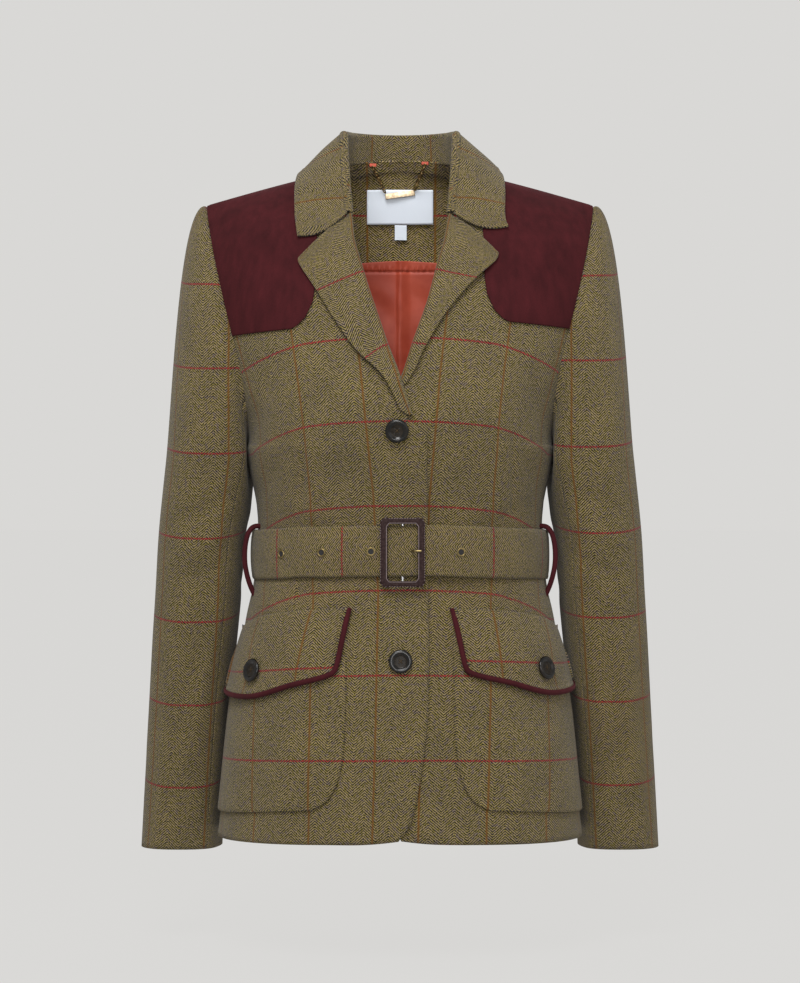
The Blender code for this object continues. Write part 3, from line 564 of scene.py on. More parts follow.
def nape_level(x):
    top = len(BACK.sections) - 1.0
    return np.minimum(top, NAPE + (top - NAPE) * (np.abs(x) / NECK_HALF) ** 2)


BACK_COLUMNS = 130


def back_place(u, v):
    across = 2.0 * u - 1.0
    x = bare(BACK, across, np.full(u.shape, len(BACK.sections) - 1.0))[:, 0]
    points = body(BACK, across, v * nape_level(x))
    points[:, 1] -= (SEAM + 0.1) * ease(0.97, 1.0, np.abs(across))
    return points


def run_down(table):
    """Distance along each column of a grid of points."""
    steps = np.linalg.norm(np.diff(table, axis=0), axis=-1)
    return np.concatenate((np.zeros((1, table.shape[1])), np.cumsum(steps, axis=0)))


def back_weave(u, v, points):
    across, z = 2.0 * u - 1.0, points[:, 2]
    arc = np.copysign(arc_from_centre(BACK, across, level_at(BACK, points[:, 0], np.minimum(z, -60.0))), across)
    table = points.reshape(-1, BACK_COLUMNS + 1, 3)
    climb = run_down(table)
    blade = int(np.argmin(np.abs(table[:, BACK_COLUMNS // 2, 2] + 70.0)))
    height = np.where(climb > climb[blade], table[blade, :, 2] + climb - climb[blade], table[:, :, 2]).ravel()
    height = height + RED_DROOP * np.sin(across * np.pi / 2) ** 2 - RED_ROW
    return np.stack((arc + 30.0, RED_PITCH * height / RED_STEP), axis=-1)


def back_fall(u, v, points):
    return creased(BACK_CREASES, points[:, 0], points[:, 2]) * (points[:, 2] < -20)


panel = cloth("back", BACK_COLUMNS, 170, back_place, back_weave,
              TWEED, TWEED_CLOTH, back_fall, flip=True)


# Sleeves: two tweed pieces each, set into the armhole with a rounded head, bent a little forward and
# hanging to an open cuff, with soft breaks at the elbow and under the arm.
Ring = namedtuple("Ring", "height centre_x centre_y half_width half_depth")
SLEEVE = np.array((
    Ring(-286, 182.0, 0, 46.8, 60),
    Ring(-352, 193.4, 9, 42.4, 55),
    Ring(-411, 197.7, 17, 41.9, 52),
    Ring(-460, 201.9, 24, 41.3, 50),
    Ring(-518, 206.8, 31, 40.3, 47.5),
    Ring(-587, 212.1, 40, 40.1, 45),
    Ring(-666, 217.2, 50, 40.2, 42.5),
), dtype=float)
SLEEVE_ROUNDNESS = 2.5
HEAD_SHARE = 0.42
FRONT_SEAM, BACK_SEAM, SEAM_TURN = 128.0, -105.0, 0.12
BESIDE_BODY = 3.2
TURN_MM = 0.8
SLEEVE_CREASES = {
    "right": (
        Crease(92, -96, 104, -250, 10.0, -2.2), Crease(74, -120, 84, -270, 12.0, 1.6),
        Crease(96, -318, 40, -352, 9.0, -1.8), Crease(98, -352, 48, -380, 8.0, 1.7),
        Crease(100, -384, 56, -402, 8.0, -1.9), Crease(96, -420, 70, -600, 9.0, 1.5),
        Crease(84, -400, 62, -640, 9.0, -1.4), Crease(20, -300, 12, -560, 14.0, 1.2),
        Crease(44, -440, 36, -640, 12.0, -1.2), Crease(-40, -330, -78, -372, 9.0, -1.9),
        Crease(-30, -380, -76, -408, 9.0, 1.6), Crease(-52, -430, -60, -620, 11.0, -1.4),
        Crease(150, -330, 190, -360, 9.0, 1.5), Crease(140, -400, 180, -420, 9.0, -1.5),
    ),
    "left": (
        Crease(90, -90, 102, -240, 10.0, -2.0), Crease(72, -116, 80, -262, 12.0, 1.5),
        Crease(98, -308, 46, -338, 9.0, -2.0), Crease(98, -346, 42, -366, 8.0, 1.6),
        Crease(100, -376, 58, -398, 8.0, -1.7), Crease(94, -430, 72, -610, 9.0, 1.4),
        Crease(86, -410, 66, -640, 9.0, -1.6), Crease(16, -290, 14, -540, 14.0, 1.3),
        Crease(40, -430, 38, -630, 12.0, -1.2), Crease(-44, -326, -80, -366, 9.0, -1.8),
        Crease(-34, -374, -78, -400, 9.0, 1.6), Crease(-50, -430, -62, -620, 11.0, -1.5),
        Crease(150, -336, 190, -362, 9.0, 1.5), Crease(140, -404, 180, -426, 9.0, -1.5),
    ),
}
SLEEVE_ROWS = {"right": (-432.0, 81.6), "left": (-427.5, 82.6)}
SLEEVE_LINE = 42.0
SEAM_RISE, SEAM_TUCK = 1.6, 1.4


def body_reach(y, z):
    reach = []
    for panel in (FRONT, BACK):
        rows = smooth(panel.sections, level_at(panel, 1000.0, np.minimum(z, -279.0)))
        inside = 1.0 - np.minimum(np.abs(y) / rows[..., 3], 1.0) ** rows[..., 5]
        reach.append(rows[..., 2] * inside ** (1.0 / rows[..., 5]))
    return np.where(y < 0, reach[0], reach[1])


def ring_point(turn, place):
    """Points of sleeve rings; turn in degrees runs from the outer side to the front and round."""
    height, centre_x, centre_y, half_width, half_depth = np.moveaxis(smooth(SLEEVE, place), -1, 0)
    cosine, sine = np.cos(np.radians(turn)), np.sin(np.radians(turn))
    power = 2.0 / SLEEVE_ROUNDNESS
    x = centre_x + half_width * np.copysign(np.abs(cosine) ** power, cosine)
    y = centre_y - half_depth * np.copysign(np.abs(sine) ** power, sine)
    beside = body_reach(y, height) + BESIDE_BODY
    softer = beside + 4.0 * np.log1p(np.exp(np.clip((x - beside) / 4.0, -30, 30)))
    x = np.where(x - beside > 40.0, x, softer)
    return np.stack((x, y, np.broadcast_to(height, x.shape)), axis=-1)


def head_point(turn, share):
    """Points of the sleeve head, on curves that leave the armhole outwards and end down the arm."""
    cosine, sine = np.cos(np.radians(turn)), np.sin(np.radians(turn))
    under = np.maximum(-cosine, 0.0) ** 2
    rising = 0.55 * np.maximum(cosine, 0.0) - 0.97 * under - 0.1 * np.abs(sine)
    leave = np.stack((0.84 - 0.5 * under, -0.5 * sine, rising), axis=-1)
    leave /= np.linalg.norm(leave, axis=-1, keepdims=True)
    rims = []
    for panel in (FRONT, BACK):
        top = len(panel.sections) - 1.0
        level = top - (top - ARMPIT) * np.minimum(np.abs(turn) / 180.0, 1.0)
        proud = SEAM_RISE * ease(-40.0, 6.0, turn) * (1.0 - ease(95.0, 150.0, turn))
        rims.append(body(panel, np.ones(turn.shape), level, proud))
    start = np.where((turn >= 0)[:, None], rims[0], rims[1]) - leave * SEAM_TUCK
    end = ring_point(turn, np.zeros(turn.shape))
    length = np.linalg.norm(end - start, axis=-1, keepdims=True)
    arrive = ring_point(turn, np.full(turn.shape, 0.3)) - end
    arrive /= np.linalg.norm(arrive, axis=-1, keepdims=True)
    part = share[:, None]
    points = (start * ((1 + 2 * part) * (1 - part) ** 2) + leave * (0.38 * length * part * (1 - part) ** 2)
              + end * (part ** 2 * (3 - 2 * part)) + arrive * (0.82 * length * part ** 2 * (part - 1)))
    beside = body_reach(points[:, 1], points[:, 2]) + BESIDE_BODY
    points[:, 0] = np.where(points[:, 2] < -279.0, np.maximum(points[:, 0], beside), points[:, 0])
    return points


def sleeve_place(side, begin, finish):
    def place(u, v):
        turn = begin + (finish - begin) * u
        turn = np.where(turn > 180.0, turn - 360.0, turn)
        down = 1.0 - v
        rings = (down - HEAD_SHARE) / (1.0 - HEAD_SHARE) * (len(SLEEVE) - 1)
        head = head_point(turn, np.minimum(down / HEAD_SHARE, 1.0))
        arm = ring_point(turn, np.maximum(rings, 0.0))
        return mirrored(side, np.where((down < HEAD_SHARE)[:, None], head, arm))
    return place


def sleeve_weave(side, word, columns, begin, finish):
    first, step = SLEEVE_ROWS[word]

    def weave(u, v, points):
        table = points.reshape(-1, columns + 1, 3)
        turn = (begin + (finish - begin) * u).reshape(table.shape[:2])
        round_arm = np.zeros(turn.shape)
        round_arm[:, 1:] = np.cumsum(np.linalg.norm(np.diff(table, axis=1), axis=-1), axis=1)
        seam = int(np.argmin(np.abs(turn[0] - SLEEVE_LINE)))
        round_arm += (turn[:, [seam]] - SLEEVE_LINE) * 0.92 - round_arm[:, [seam]]
        climb = run_down(table)
        shoulder = int(np.argmin(np.abs(v.reshape(turn.shape)[:, 0] - 1.0 + HEAD_SHARE)))
        above, aside = climb > climb[shoulder], -np.sin(np.radians(turn))
        reach = aside * side * (table[:, :, 0] - table[shoulder, :, 0])
        round_arm = np.where(above, round_arm[shoulder] + reach, round_arm)
        climbed = table[shoulder, :, 2] + climb - climb[shoulder]
        over_head = (1.0 - aside ** 2) * climbed + aside ** 2 * table[:, :, 2]
        height = np.where(above, over_head, table[:, :, 2]) - first - 9.0 * aside
        return np.stack((side * round_arm, RED_PITCH * height / step), axis=-1).reshape(-1, 2)
    return weave


def sleeve_fall(word, begin, finish):
    def relief(u, v, points):
        turn = (begin + (finish - begin) * u) * TURN_MM
        creases = SLEEVE_CREASES[word]
        out = creased(creases, turn, points[:, 2]) + creased(creases, turn - 360.0 * TURN_MM, points[:, 2])
        gathers = 0.5 * np.sin(turn * 0.9) * ease(0.93, 0.985, v) * (1.0 - ease(0.985, 1.0, v))
        return out * (1.0 - ease(0.9, 0.99, v)) + gathers
    return relief


for side, word in SIDES:
    for part, columns, begin, finish, flat, area in (
        ("top_sleeve_", 90, BACK_SEAM + SEAM_TURN, FRONT_SEAM - SEAM_TURN, (0.22, 0.66), 0.125),
        ("under_sleeve_", 46, FRONT_SEAM + SEAM_TURN, 360.0 + BACK_SEAM - SEAM_TURN, (0.12, 0.52), 0.052),
    ):
        sleeve = cloth(part + word, columns, 160, sleeve_place(side, begin, finish),
                       sleeve_weave(side, word, columns, begin, finish), TWEED, TWEED_CLOTH,
                       sleeve_fall(word, begin, finish), flip=side > 0)


# Shoulder patches: burgundy suede laid on the fronts from the shoulder seam and armhole to under the
# lapel, its lower inner corner scooped, sewn down close to the edge.
SUEDE = 1.5
LAYER = 1.2
PATCH_EDGE = ((-160, 118), (-154.5, 108), (-151, 97.5), (-143, 89), (-128, 82), (-112, 80), (-60, 79), (20, 84))
PATCH_FOOT = {"left": -148.0, "right": -155.0}
SUEDE_DEEP = (0.02, 0.0028, 0.0036)
SUEDE_PALE = (0.05, 0.0068, 0.0088)


def brushed_suede(name, deep, pale):
    made, tree, shader = started(name, 0.88)
    spot = tree.nodes.new("ShaderNodeTexCoord")
    clouds = speckle(tree, spot.outputs["Object"], 26.0, 5.0)
    nap = speckle(tree, spot.outputs["Object"], 1400.0, 2.0)
    long = tree.nodes.new("ShaderNodeMapping")
    long.inputs["Scale"].default_value = (1.0, 1.0, 0.14)
    tree.links.new(spot.outputs["Object"], long.inputs["Vector"])
    stroke = speckle(tree, long.outputs["Vector"], 130.0, 3.0)
    brushed = calc(tree, "MULTIPLY_ADD", stroke, 0.45, calc(tree, "MULTIPLY", clouds, 0.4))
    share = calc(tree, "MULTIPLY_ADD", nap, 0.35, brushed)
    tree.links.new(mixed(tree, band(tree, share, 0.3, 0.95), deep, pale), shader.inputs["Base Color"])
    shader.inputs["Specular IOR Level"].default_value = 0.1
    shader.inputs["Sheen Weight"].default_value = 0.07
    shader.inputs["Sheen Roughness"].default_value = 0.45
    shader.inputs["Sheen Tint"].default_value = (0.75, 0.3, 0.33, 1.0)
    bumped(tree, shader, calc(tree, "MULTIPLY_ADD", nap, 0.6, stroke), 0.0003, 0.35)
    return made


PATCH_SUEDE = brushed_suede("burgundy_suede", SUEDE_DEEP, SUEDE_PALE)


def plain_weave(u, v, points):
    return points[:, [0, 2]]


def patch_place(side, word):
    foot = level_at(FRONT, 0.0, PATCH_FOOT[word])

    def place(u, v):
        level = foot + (len(FRONT.sections) - 1.03 - foot) * v ** 1.15
        height = smooth(FRONT.sections, level)[:, 0]
        inner = lookup(PATCH_EDGE, np.where(height < -60, height - PATCH_FOOT[word] - 153.0, height))
        start = across_at(FRONT, inner, level)
        return mirrored(side, body(FRONT, start + (0.992 - start) * u, level, LAYER + SUEDE))
    return place


def patch_fall(u, v, points):
    rim = np.minimum(np.minimum(u, 1.0 - u) * 95.0, np.minimum(v, 1.4) * 150.0)
    return front_fall(u, v, points) - 0.45 * np.exp(-((rim - 2.4) / 0.9) ** 2) - 0.7 * np.exp(-(rim / 0.8) ** 2)


for side, word in SIDES:
    patch = cloth("shoulder_patch_" + word, 80, 90, patch_place(side, word), plain_weave, SUEDE, PATCH_SUEDE,
                  patch_fall, flip=side < 0)


# Lapels: tweed facings turned over the roll of each front, with a pressed edge and a slight lift off
# the chest, the notch end meeting the collar.
Fold = namedtuple("Fold", "roll_x roll_z edge_x edge_z")
LAPELS = {
    "right": np.array((
        Fold(-12, -243, 0, -238), Fold(-5, -222, 8, -221), Fold(1, -202, 18, -205), Fold(12, -172, 41, -182),
        Fold(20, -148, 61, -153), Fold(30, -118, 79, -124), Fold(40, -84, 94, -101), Fold(48.5, -53, 96, -94),
    ), dtype=float),
    "left": np.array((
        Fold(-4, -216, 5, -214), Fold(2, -203, 14, -200), Fold(7, -188, 20, -186),
        Fold(12, -172, 28, -171), Fold(18.7, -153, 42, -148),
        Fold(25, -135, 57, -129), Fold(31, -113, 73, -112), Fold(38, -86, 90, -96), Fold(49, -54, 93, -89),
    ), dtype=float),
}
NOTCH_BOW, ROLL, FLANGE, LAPEL_LIFT = 3.2, 4.6, 6.0, 6.2
TUCK = 7.0
ROLL_STEPS, LEAF_STEPS = 14, 40
LAPEL_RED = {"right": -106.0, "left": -104.0}
LAPEL_CUT = {"right": ((0.08, 0.22), 0.01), "left": ((0.075, 0.18), 0.0074)}


def unit(vector):
    return vector / max(np.linalg.norm(vector), 1e-9)


def lapel_path(word, side, place):
    """Points across a lapel, from the flange inside, round the roll, out to its edge."""
    fold = Fold(*smooth(LAPELS[word], place))
    share = place / (len(LAPELS[word]) - 1)
    tuck = float(ease(0.9, 1.0, share))
    fold = fold._replace(roll_x=fold.roll_x - 2.0 * tuck, roll_z=fold.roll_z + TUCK * tuck)
    roll = ROLL * (0.62 + 0.38 * float(ease(0.0, 0.3, share)) - 0.45 * tuck)
    base = float(lap_lift(side, fold.roll_x, fold.roll_z))
    rim = on(FRONT, fold.roll_x, fold.roll_z, base)
    normal = unit(on(FRONT, fold.roll_x, fold.roll_z, base + 1.0) - rim)
    out = unit(on(FRONT, fold.edge_x, fold.edge_z) - on(FRONT, fold.roll_x, fold.roll_z))
    out = unit(out - normal * out.dot(normal))
    centre = rim + out * roll - normal * (TWEED / 2)
    inside = float(ease(0.3, 0.5, share) if side < 0 else ease(0.0, 0.2, share))
    begin = math.radians(-10.0 - 80.0 * inside)
    back = out * -math.sin(begin) - normal * math.cos(begin)
    turn = (begin + (math.pi / 2 - begin) * np.linspace(0.0, 1.0, ROLL_STEPS))[:, None]
    round_roll = centre - out * (roll * np.cos(turn)) + normal * (roll * np.sin(turn))
    flange = round_roll[:1] + back * (0.8 + FLANGE * inside)
    part = np.linspace(0.0, 1.0, LEAF_STEPS + 1)[1:]
    begin_x = fold.roll_x + roll * 0.98
    x = begin_x + (fold.edge_x - begin_x) * part
    bow = NOTCH_BOW * float(ease(0.86, 1.0, share))
    hidden = tuck * np.maximum(0.0, 1.0 - part / 0.5)
    z = fold.roll_z + (fold.edge_z - fold.roll_z) * part + bow * np.sin(np.pi * part)
    z = z - TUCK * (tuck * (1.0 - part) - hidden)
    rise = roll - 1.0 + (LAPEL_LIFT - roll + 1.0) * ease(0.0, 0.55, part)
    rise = rise * (0.55 + 0.45 * float(ease(0.0, 0.2, share))) - 2.4 * hidden
    return np.concatenate((flange, round_roll, on(FRONT, x, z, rise + lap_lift(side, x, z))))


def run_along(points):
    return np.concatenate(((0.0,), np.cumsum(np.linalg.norm(np.diff(points, axis=0), axis=1))))


def stacked(paths):
    """Place and weave of a sheet made of paths of points, one path for each row."""
    table = np.array(paths)
    rows, columns = table.shape[0] - 1, table.shape[1] - 1

    def cell(u, v):
        return np.round(v * rows).astype(int), np.round(u * columns).astype(int)
    return table, rows, columns, cell


for side, word in SIDES:
    rows = 110
    places = np.arange(rows + 1) / rows * (len(LAPELS[word]) - 1)
    paths = [mirrored(side, lapel_path(word, side, place)) for place in places]
    table, rows, columns, cell = stacked(paths)
    roll_line = table[:, 1 + ROLL_STEPS // 2]
    up = run_along(roll_line)
    up = up - np.interp(LAPEL_RED[word], roll_line[:, 2], up)
    over_roll = np.array([run_along(path) for path in table])
    over_roll = over_roll - over_roll[:, [1 + ROLL_STEPS // 2]] - 3.0

    def lapel_place(u, v):
        return table[cell(u, v)]

    def lapel_weave(u, v, points):
        row, column = cell(u, v)
        warp, weft = side * over_roll[row, column], up[row] + 0.1 * over_roll[row, column]
        return np.stack((warp, weft, warp, np.minimum(up[row] + 0.32 * over_roll[row, column], 40.0)), axis=-1)

    def lapel_fall(u, v, points):
        row, column = cell(u, v)
        rim = over_roll[row, -1] - over_roll[row, column]
        top = (1.0 - v) * 200.0
        pressed = -0.5 * np.exp(-((np.minimum(rim, top + 0.0) - 6.0) / 1.1) ** 2) * (rim > 0)
        wave = 1.2 * np.sin(v * 9.0 + side) * ease(10.0, 40.0, over_roll[row, column])
        return pressed * (over_roll[row, column] > 6.0) + wave * (1.0 - ease(0.8, 0.95, v))

    lapel = cloth("lapel_" + word, columns, rows, lapel_place, lapel_weave,
                  TWEED, TWEED_CLOTH, lapel_fall, flip=side < 0)
    flat, area = LAPEL_CUT[word]


# Collar: one tweed wall from the neck seam up the stand, over the fold and down the leaf, its grain
# running round the neck so that the check crosses the leaf level.
Station = namedtuple("Station", "stand_x stand_y stand_z fold_x fold_y fold_z edge_x edge_y")
COLLAR = (
    Station(0, 65, 15.5, 0, 72, 42, 0, 89),
    Station(24, 60.5, 14.5, 25, 67, 42, 44, 84),
    Station(45, 40, 10.5, 45.5, 45, 41, 79, 62),
    Station(57, 17, 5.5, 54, 17, 39, 94, 32),
    Station(60, 0, 0, 55, -4, 34, 98, 2),
    Station(58, -20, -14, 53.5, -29, 4, 100, -26),
    Station(54, -40, -36, 50.5, -47, -30, 99.5, -50),
)
COLLAR_END = {
    "left": Station(52, -50, -50, 49.5, -55, -45, 103, -56),
    "right": Station(52, -50, -50, 49, -55, -45, 97, -63.5),
}
COLLAR_LIFT, FOLD_ROLL, LEAF_BOW, RIDGE_Y = 6.4, 2.6, 1.2, 7.0
COLLAR_BOW, COLLAR_ROWS = 7.5, 170
STAND_STEPS, FOLD_STEPS, COLLAR_LEAF = 14, 12, 36
COLLAR_LINE = {"right": 40.0, "left": 34.0}


def over(x, y, lift):
    """Points above the shoulders at the places x, y."""
    x, y, lift = alike(x, y, lift)
    found = []
    for panel in (FRONT, BACK):
        low, high = np.full(x.shape, 10.0), np.full(x.shape, len(panel.sections) - 1.0)
        for _ in range(26):
            level = (low + high) / 2
            found_y = bare(panel, across_at(panel, x, level), level)[..., 1]
            outside = np.abs(found_y - RIDGE_Y) > np.abs(y - RIDGE_Y)
            low, high = np.where(outside, level, low), np.where(outside, high, level)
        found.append(body(panel, across_at(panel, x, level), level, lift))
    return np.where((y < RIDGE_Y)[..., None], found[0], found[1])


def collar_stations():
    halves = {}
    for side, word in SIDES:
        rows = []
        for station in COLLAR + (COLLAR_END[word],):
            edge = over(station.edge_x, station.edge_y, COLLAR_LIFT)
            parts = (np.array(station[0:3]), np.array(station[3:6]), edge)
            rows.append(np.concatenate([mirrored(side, part) for part in parts]))
        halves[word] = rows
    return np.array(halves["right"][:0:-1] + halves["left"])


def collar_path(stations, place):
    row = smooth(stations, place)
    stand, fold, edge = row[0:3], row[3:6], row[6:9]
    out = unit((edge - fold) * np.array((1.0, 1.0, 0.0)))
    up = np.array((0.0, 0.0, 1.0))
    centre = fold - up * FOLD_ROLL
    inner, outer = centre - out * FOLD_ROLL, centre + out * FOLD_ROLL
    end = abs(place / (len(stations) - 1) - 0.5) * 2.0
    rise = np.linspace(0.0, 1.0, STAND_STEPS + 1)[:-1, None]
    turn = np.linspace(0.0, math.pi, FOLD_STEPS + 1)[:, None]
    part = np.linspace(0.0, 1.0, COLLAR_LEAF + 1)[1:]
    bow = np.sin(np.pi * part)
    leaf = outer + (edge - outer) * part[:, None]
    leaf[:, 2] += LEAF_BOW * bow - (LEAF_BOW + COLLAR_BOW) * bow * float(ease(0.9, 1.0, end))
    lift = 3.4 + (COLLAR_LIFT - 3.4) * ease(0.0, 0.5, part)
    width = np.abs(leaf[:, 0])
    ahead = leaf[:, 1] < -30.0
    beside = ~ahead & ((width > NECK_HALF) | (leaf[:, 1] > 60.0))
    leaf[:, 1] = np.where(ahead, np.minimum(leaf[:, 1], on(FRONT, width, leaf[:, 2], lift)[:, 1]), leaf[:, 1])
    leaf[:, 2] = np.where(beside, np.maximum(leaf[:, 2], over(width, leaf[:, 1], lift)[:, 2]), leaf[:, 2])
    return np.concatenate((stand + (inner - stand) * rise,
                           centre - out * (FOLD_ROLL * np.cos(turn)) + up * (FOLD_ROLL * np.sin(turn)), leaf))


stations = collar_stations()
places = np.arange(COLLAR_ROWS + 1) / COLLAR_ROWS * (len(stations) - 1)
table, rows, columns, cell = stacked([collar_path(stations, place) for place in places])
fold_line, leaf_line = STAND_STEPS + FOLD_STEPS // 2, STAND_STEPS + FOLD_STEPS + COLLAR_LEAF // 2
round_leaf, round_fold = run_along(table[:, leaf_line]), run_along(table[:, fold_line])
turned = np.array([run_along(path) for path in table])


def collar_place(u, v):
    return table[cell(u, v)]


def collar_weave(u, v, points):
    row, column = cell(u, v)
    from_right = round_leaf[row] - COLLAR_LINE["right"]
    from_left = round_leaf[-1] - COLLAR_LINE["left"] - round_leaf[row]
    lean = 0.3 * (turned[row, leaf_line] - turned[row, column])
    on_leaf = np.where(v < 0.5, -from_right - lean, from_left + lean) * BROWN_PITCH / 58.0
    on_stand = (round_fold[row] - round_fold[rows // 2] + 33.0) * BROWN_PITCH / 70.0
    warp = np.where(column > fold_line, on_leaf, on_stand)
    return np.stack((warp, turned[row, column], warp, np.full(u.shape, 40.0)), axis=-1)


def collar_fall(u, v, points):
    row, column = cell(u, v)
    rim = turned[row, -1] - turned[row, column]
    ends = np.minimum(v, 1.0 - v) * 330.0
    pressed = -0.5 * np.exp(-((np.minimum(rim, ends) - 6.0) / 1.1) ** 2) * (column > fold_line + 6)
    wave = 0.9 * np.sin(v * 31.0) * ease(0.6, 0.9, u) * (1.0 - ease(0.93, 1.0, u))
    return pressed + wave * (np.abs(v - 0.5) < 0.42)


collar = cloth("collar", columns, rows, collar_place, collar_weave, TWEED, TWEED_CLOTH, collar_fall)


# Patch pockets: tweed laid on each front with a curved inner corner, running to the side seam, the
# check matched to the front below and the edge pressed flat.
Rib = namedtuple("Rib", "height inner_x")
POCKET = np.array((
    Rib(-611, 83), Rib(-604, 69.5), Rib(-590, 60), Rib(-570, 54.5), Rib(-541, 51.5), Rib(-500, 50.5), Rib(-450, 50),
), dtype=float)
POCKET_LIFT = LAYER + TWEED
SIDE_DROOP, SIDE_END = 11.0, 0.97


def pocket_spot(u, v):
    height, inner = np.moveaxis(smooth(POCKET, v * (len(POCKET) - 1)), -1, 0)
    start = across_at(FRONT, inner, level_at(FRONT, 0.0, height))
    across = start + (SIDE_END - start) * u
    return across, level_at(FRONT, 0.0, height - SIDE_DROOP * np.sin(across * np.pi / 2) ** 2), height


def pocket_fall(u, v, points):
    rim = np.minimum(u * 110.0, v * 150.0)
    pressed = -0.9 * np.exp(-(rim / 1.4) ** 2) - 0.35 * np.exp(-((rim - 5.0) / 1.2) ** 2)
    full = 2.4 * np.sin(np.pi * np.clip(u, 0, 1)) * np.sin(np.pi * np.clip(v, 0, 1)) - 1.0 * ease(0.8, 1.0, v)
    return front_fall(u, v, points) + pressed + full


for side, word in SIDES:
    def pocket_place(u, v):
        across, level, height = pocket_spot(u, v)
        x = bare(FRONT, across, level)[:, 0]
        return mirrored(side, body(FRONT, across, level, POCKET_LIFT + lap_lift(side, x, height)))

    def pocket_weave(u, v, points):
        across, level, _ = pocket_spot(u, v)
        return front_threads(side, word, across, level, points[:, 2], 6.0, 0.0)

    pocket = cloth("pocket_" + word, 80, 100, pocket_place, pocket_weave,
                   TWEED, TWEED_CLOTH, pocket_fall, flip=side < 0)


# Pocket flaps: tweed standing a little off the pockets, sewn into the seam along the top, with burgundy
# suede piping round the free edges.
Flap = namedtuple("Flap", "top_x top_z foot_x foot_z top_lift foot_lift")
FLAP = np.array((
    Flap(49, -424, 59.5, -476, 3.4, 7.5), Flap(54, -424.5, 66, -485, 3.4, 8.0), Flap(95, -427, 100, -495.5, 3.4, 9.5),
    Flap(133, -434, 138, -508, 3.2, 9.5), Flap(156, -447, 178, -506, 0.3, 7.5),
), dtype=float)
FLAP_RAISE = {"left": 5.0, "right": 0.0}
FLAP_INSET = {"left": 2.0, "right": 0.0}
FLAP_RED = {"right": (-478.5, -490.5), "left": (-472.5, -481.0)}
FLAP_LEAN = {"right": 13.0, "left": 9.0}
PIPING = 2.6
PIPING_SUEDE = brushed_suede("piping_suede", (0.022, 0.0034, 0.0048), (0.048, 0.007, 0.0095))


def flap_spot(word, u, v):
    """Panel place, height and lift on a flap: u from its inner end to the side, v from its top down."""
    top_x, top_z, foot_x, foot_z, top_lift, foot_lift = np.moveaxis(smooth(FLAP, u * (len(FLAP) - 1)), -1, 0)
    inset = FLAP_INSET[word] * (1.0 - u)
    begin = np.minimum(across_at(FRONT, top_x + inset, level_at(FRONT, 0.0, top_z)), SIDE_END)
    finish = np.minimum(across_at(FRONT, foot_x + inset, level_at(FRONT, 0.0, foot_z)), SIDE_END)
    across = begin + (finish - begin) * v
    z = top_z + (foot_z + FLAP_RAISE[word] * u - top_z) * v
    return across, level_at(FRONT, 0.0, z), z, top_lift + (foot_lift - top_lift) * np.clip(v, 0.0, 2.0) ** 0.7


def flap_point(word, u, v, proud=0.0):
    across, level, z, lift = flap_spot(word, u, v)
    side = 1 if word == "left" else -1
    return body(FRONT, across, level, lift + proud + lap_lift(side, bare(FRONT, across, level)[..., 0], z))


def tube(node, points, radius, finish, sides=6):
    curve = bpy.data.curves.new(node, "CURVE")
    curve.dimensions = "3D"
    curve.bevel_depth = radius * MM
    curve.bevel_resolution = sides
    curve.use_fill_caps = True
    line = curve.splines.new("POLY")
    line.points.add(len(points) - 1)
    for knot, point in zip(line.points, points):
        knot.co = (*(point * MM), 1.0)
    line.use_smooth = True
    return placed(node + "_trim", curve, finish, node)


for side, word in SIDES:
    first, last = FLAP_RED[word]

    def flap_place(u, v):
        return mirrored(side, flap_point(word, u, 1.0 - v))

    def flap_weave(u, v, points):
        across, level, z, _ = flap_spot(word, u, 1.0 - v)
        base = front_threads(side, word, across, level, z, 0.0, 0.0)
        height = points[:, 2] - (first + (last - first) * u ** 2)
        lean = base[:, 0] - side * FLAP_LEAN[word] * (1.0 - v)
        return np.stack((base[:, 0] - side * 5.0 * (1.0 - v), z, lean, RED_PITCH * height / RED_STEP), axis=-1)

    def flap_fall(u, v, points):
        down = 1.0 - v
        rim = np.minimum(u * 110.0, v * 70.0)
        pressed = -0.4 * np.exp(-((rim - 4.5) / 1.1) ** 2) - 0.5 * np.exp(-(down * 70.0 / 1.8) ** 2)
        dimple = -1.6 * np.exp(-(((u - 0.72) * 110.0) / 14.0) ** 2 - ((down - 0.71) * 70.0 / 12.0) ** 2)
        swell = 1.3 * np.sin(u * 5.0 + 0.6) * down ** 1.5
        swell = swell + 1.6 * np.sin(np.pi * np.clip(down, 0, 1)) * np.sin(np.pi * u)
        return pressed + dimple + swell * np.minimum(1.0, rim / 12.0)

    flap = cloth("pocket_flap_" + word, 100, 60, flap_place, flap_weave,
                 TWEED, TWEED_CLOTH, flap_fall, flip=side < 0)
    down, along = np.linspace(0.0, 1.0, 24), np.linspace(0.0, 1.0, 90)[1:]
    u, v = np.concatenate((np.zeros(24), along)), np.concatenate((down, np.ones(89)))
    edge, proud = flap_point(word, u, v), flap_point(word, u, v, 1.0)
    ahead = np.gradient(edge, axis=0)
    outward = np.cross(ahead, proud - edge)
    outward /= np.linalg.norm(outward, axis=1, keepdims=True)
    for _ in range(6):
        outward[1:-1] = (outward[:-2] + 2 * outward[1:-1] + outward[2:]) / 4
    path = edge + outward * (PIPING - 0.3) - (proud - edge) * (TWEED / 2)
    tube("flap_piping_" + word, mirrored(side, path), PIPING, PIPING_SUEDE)


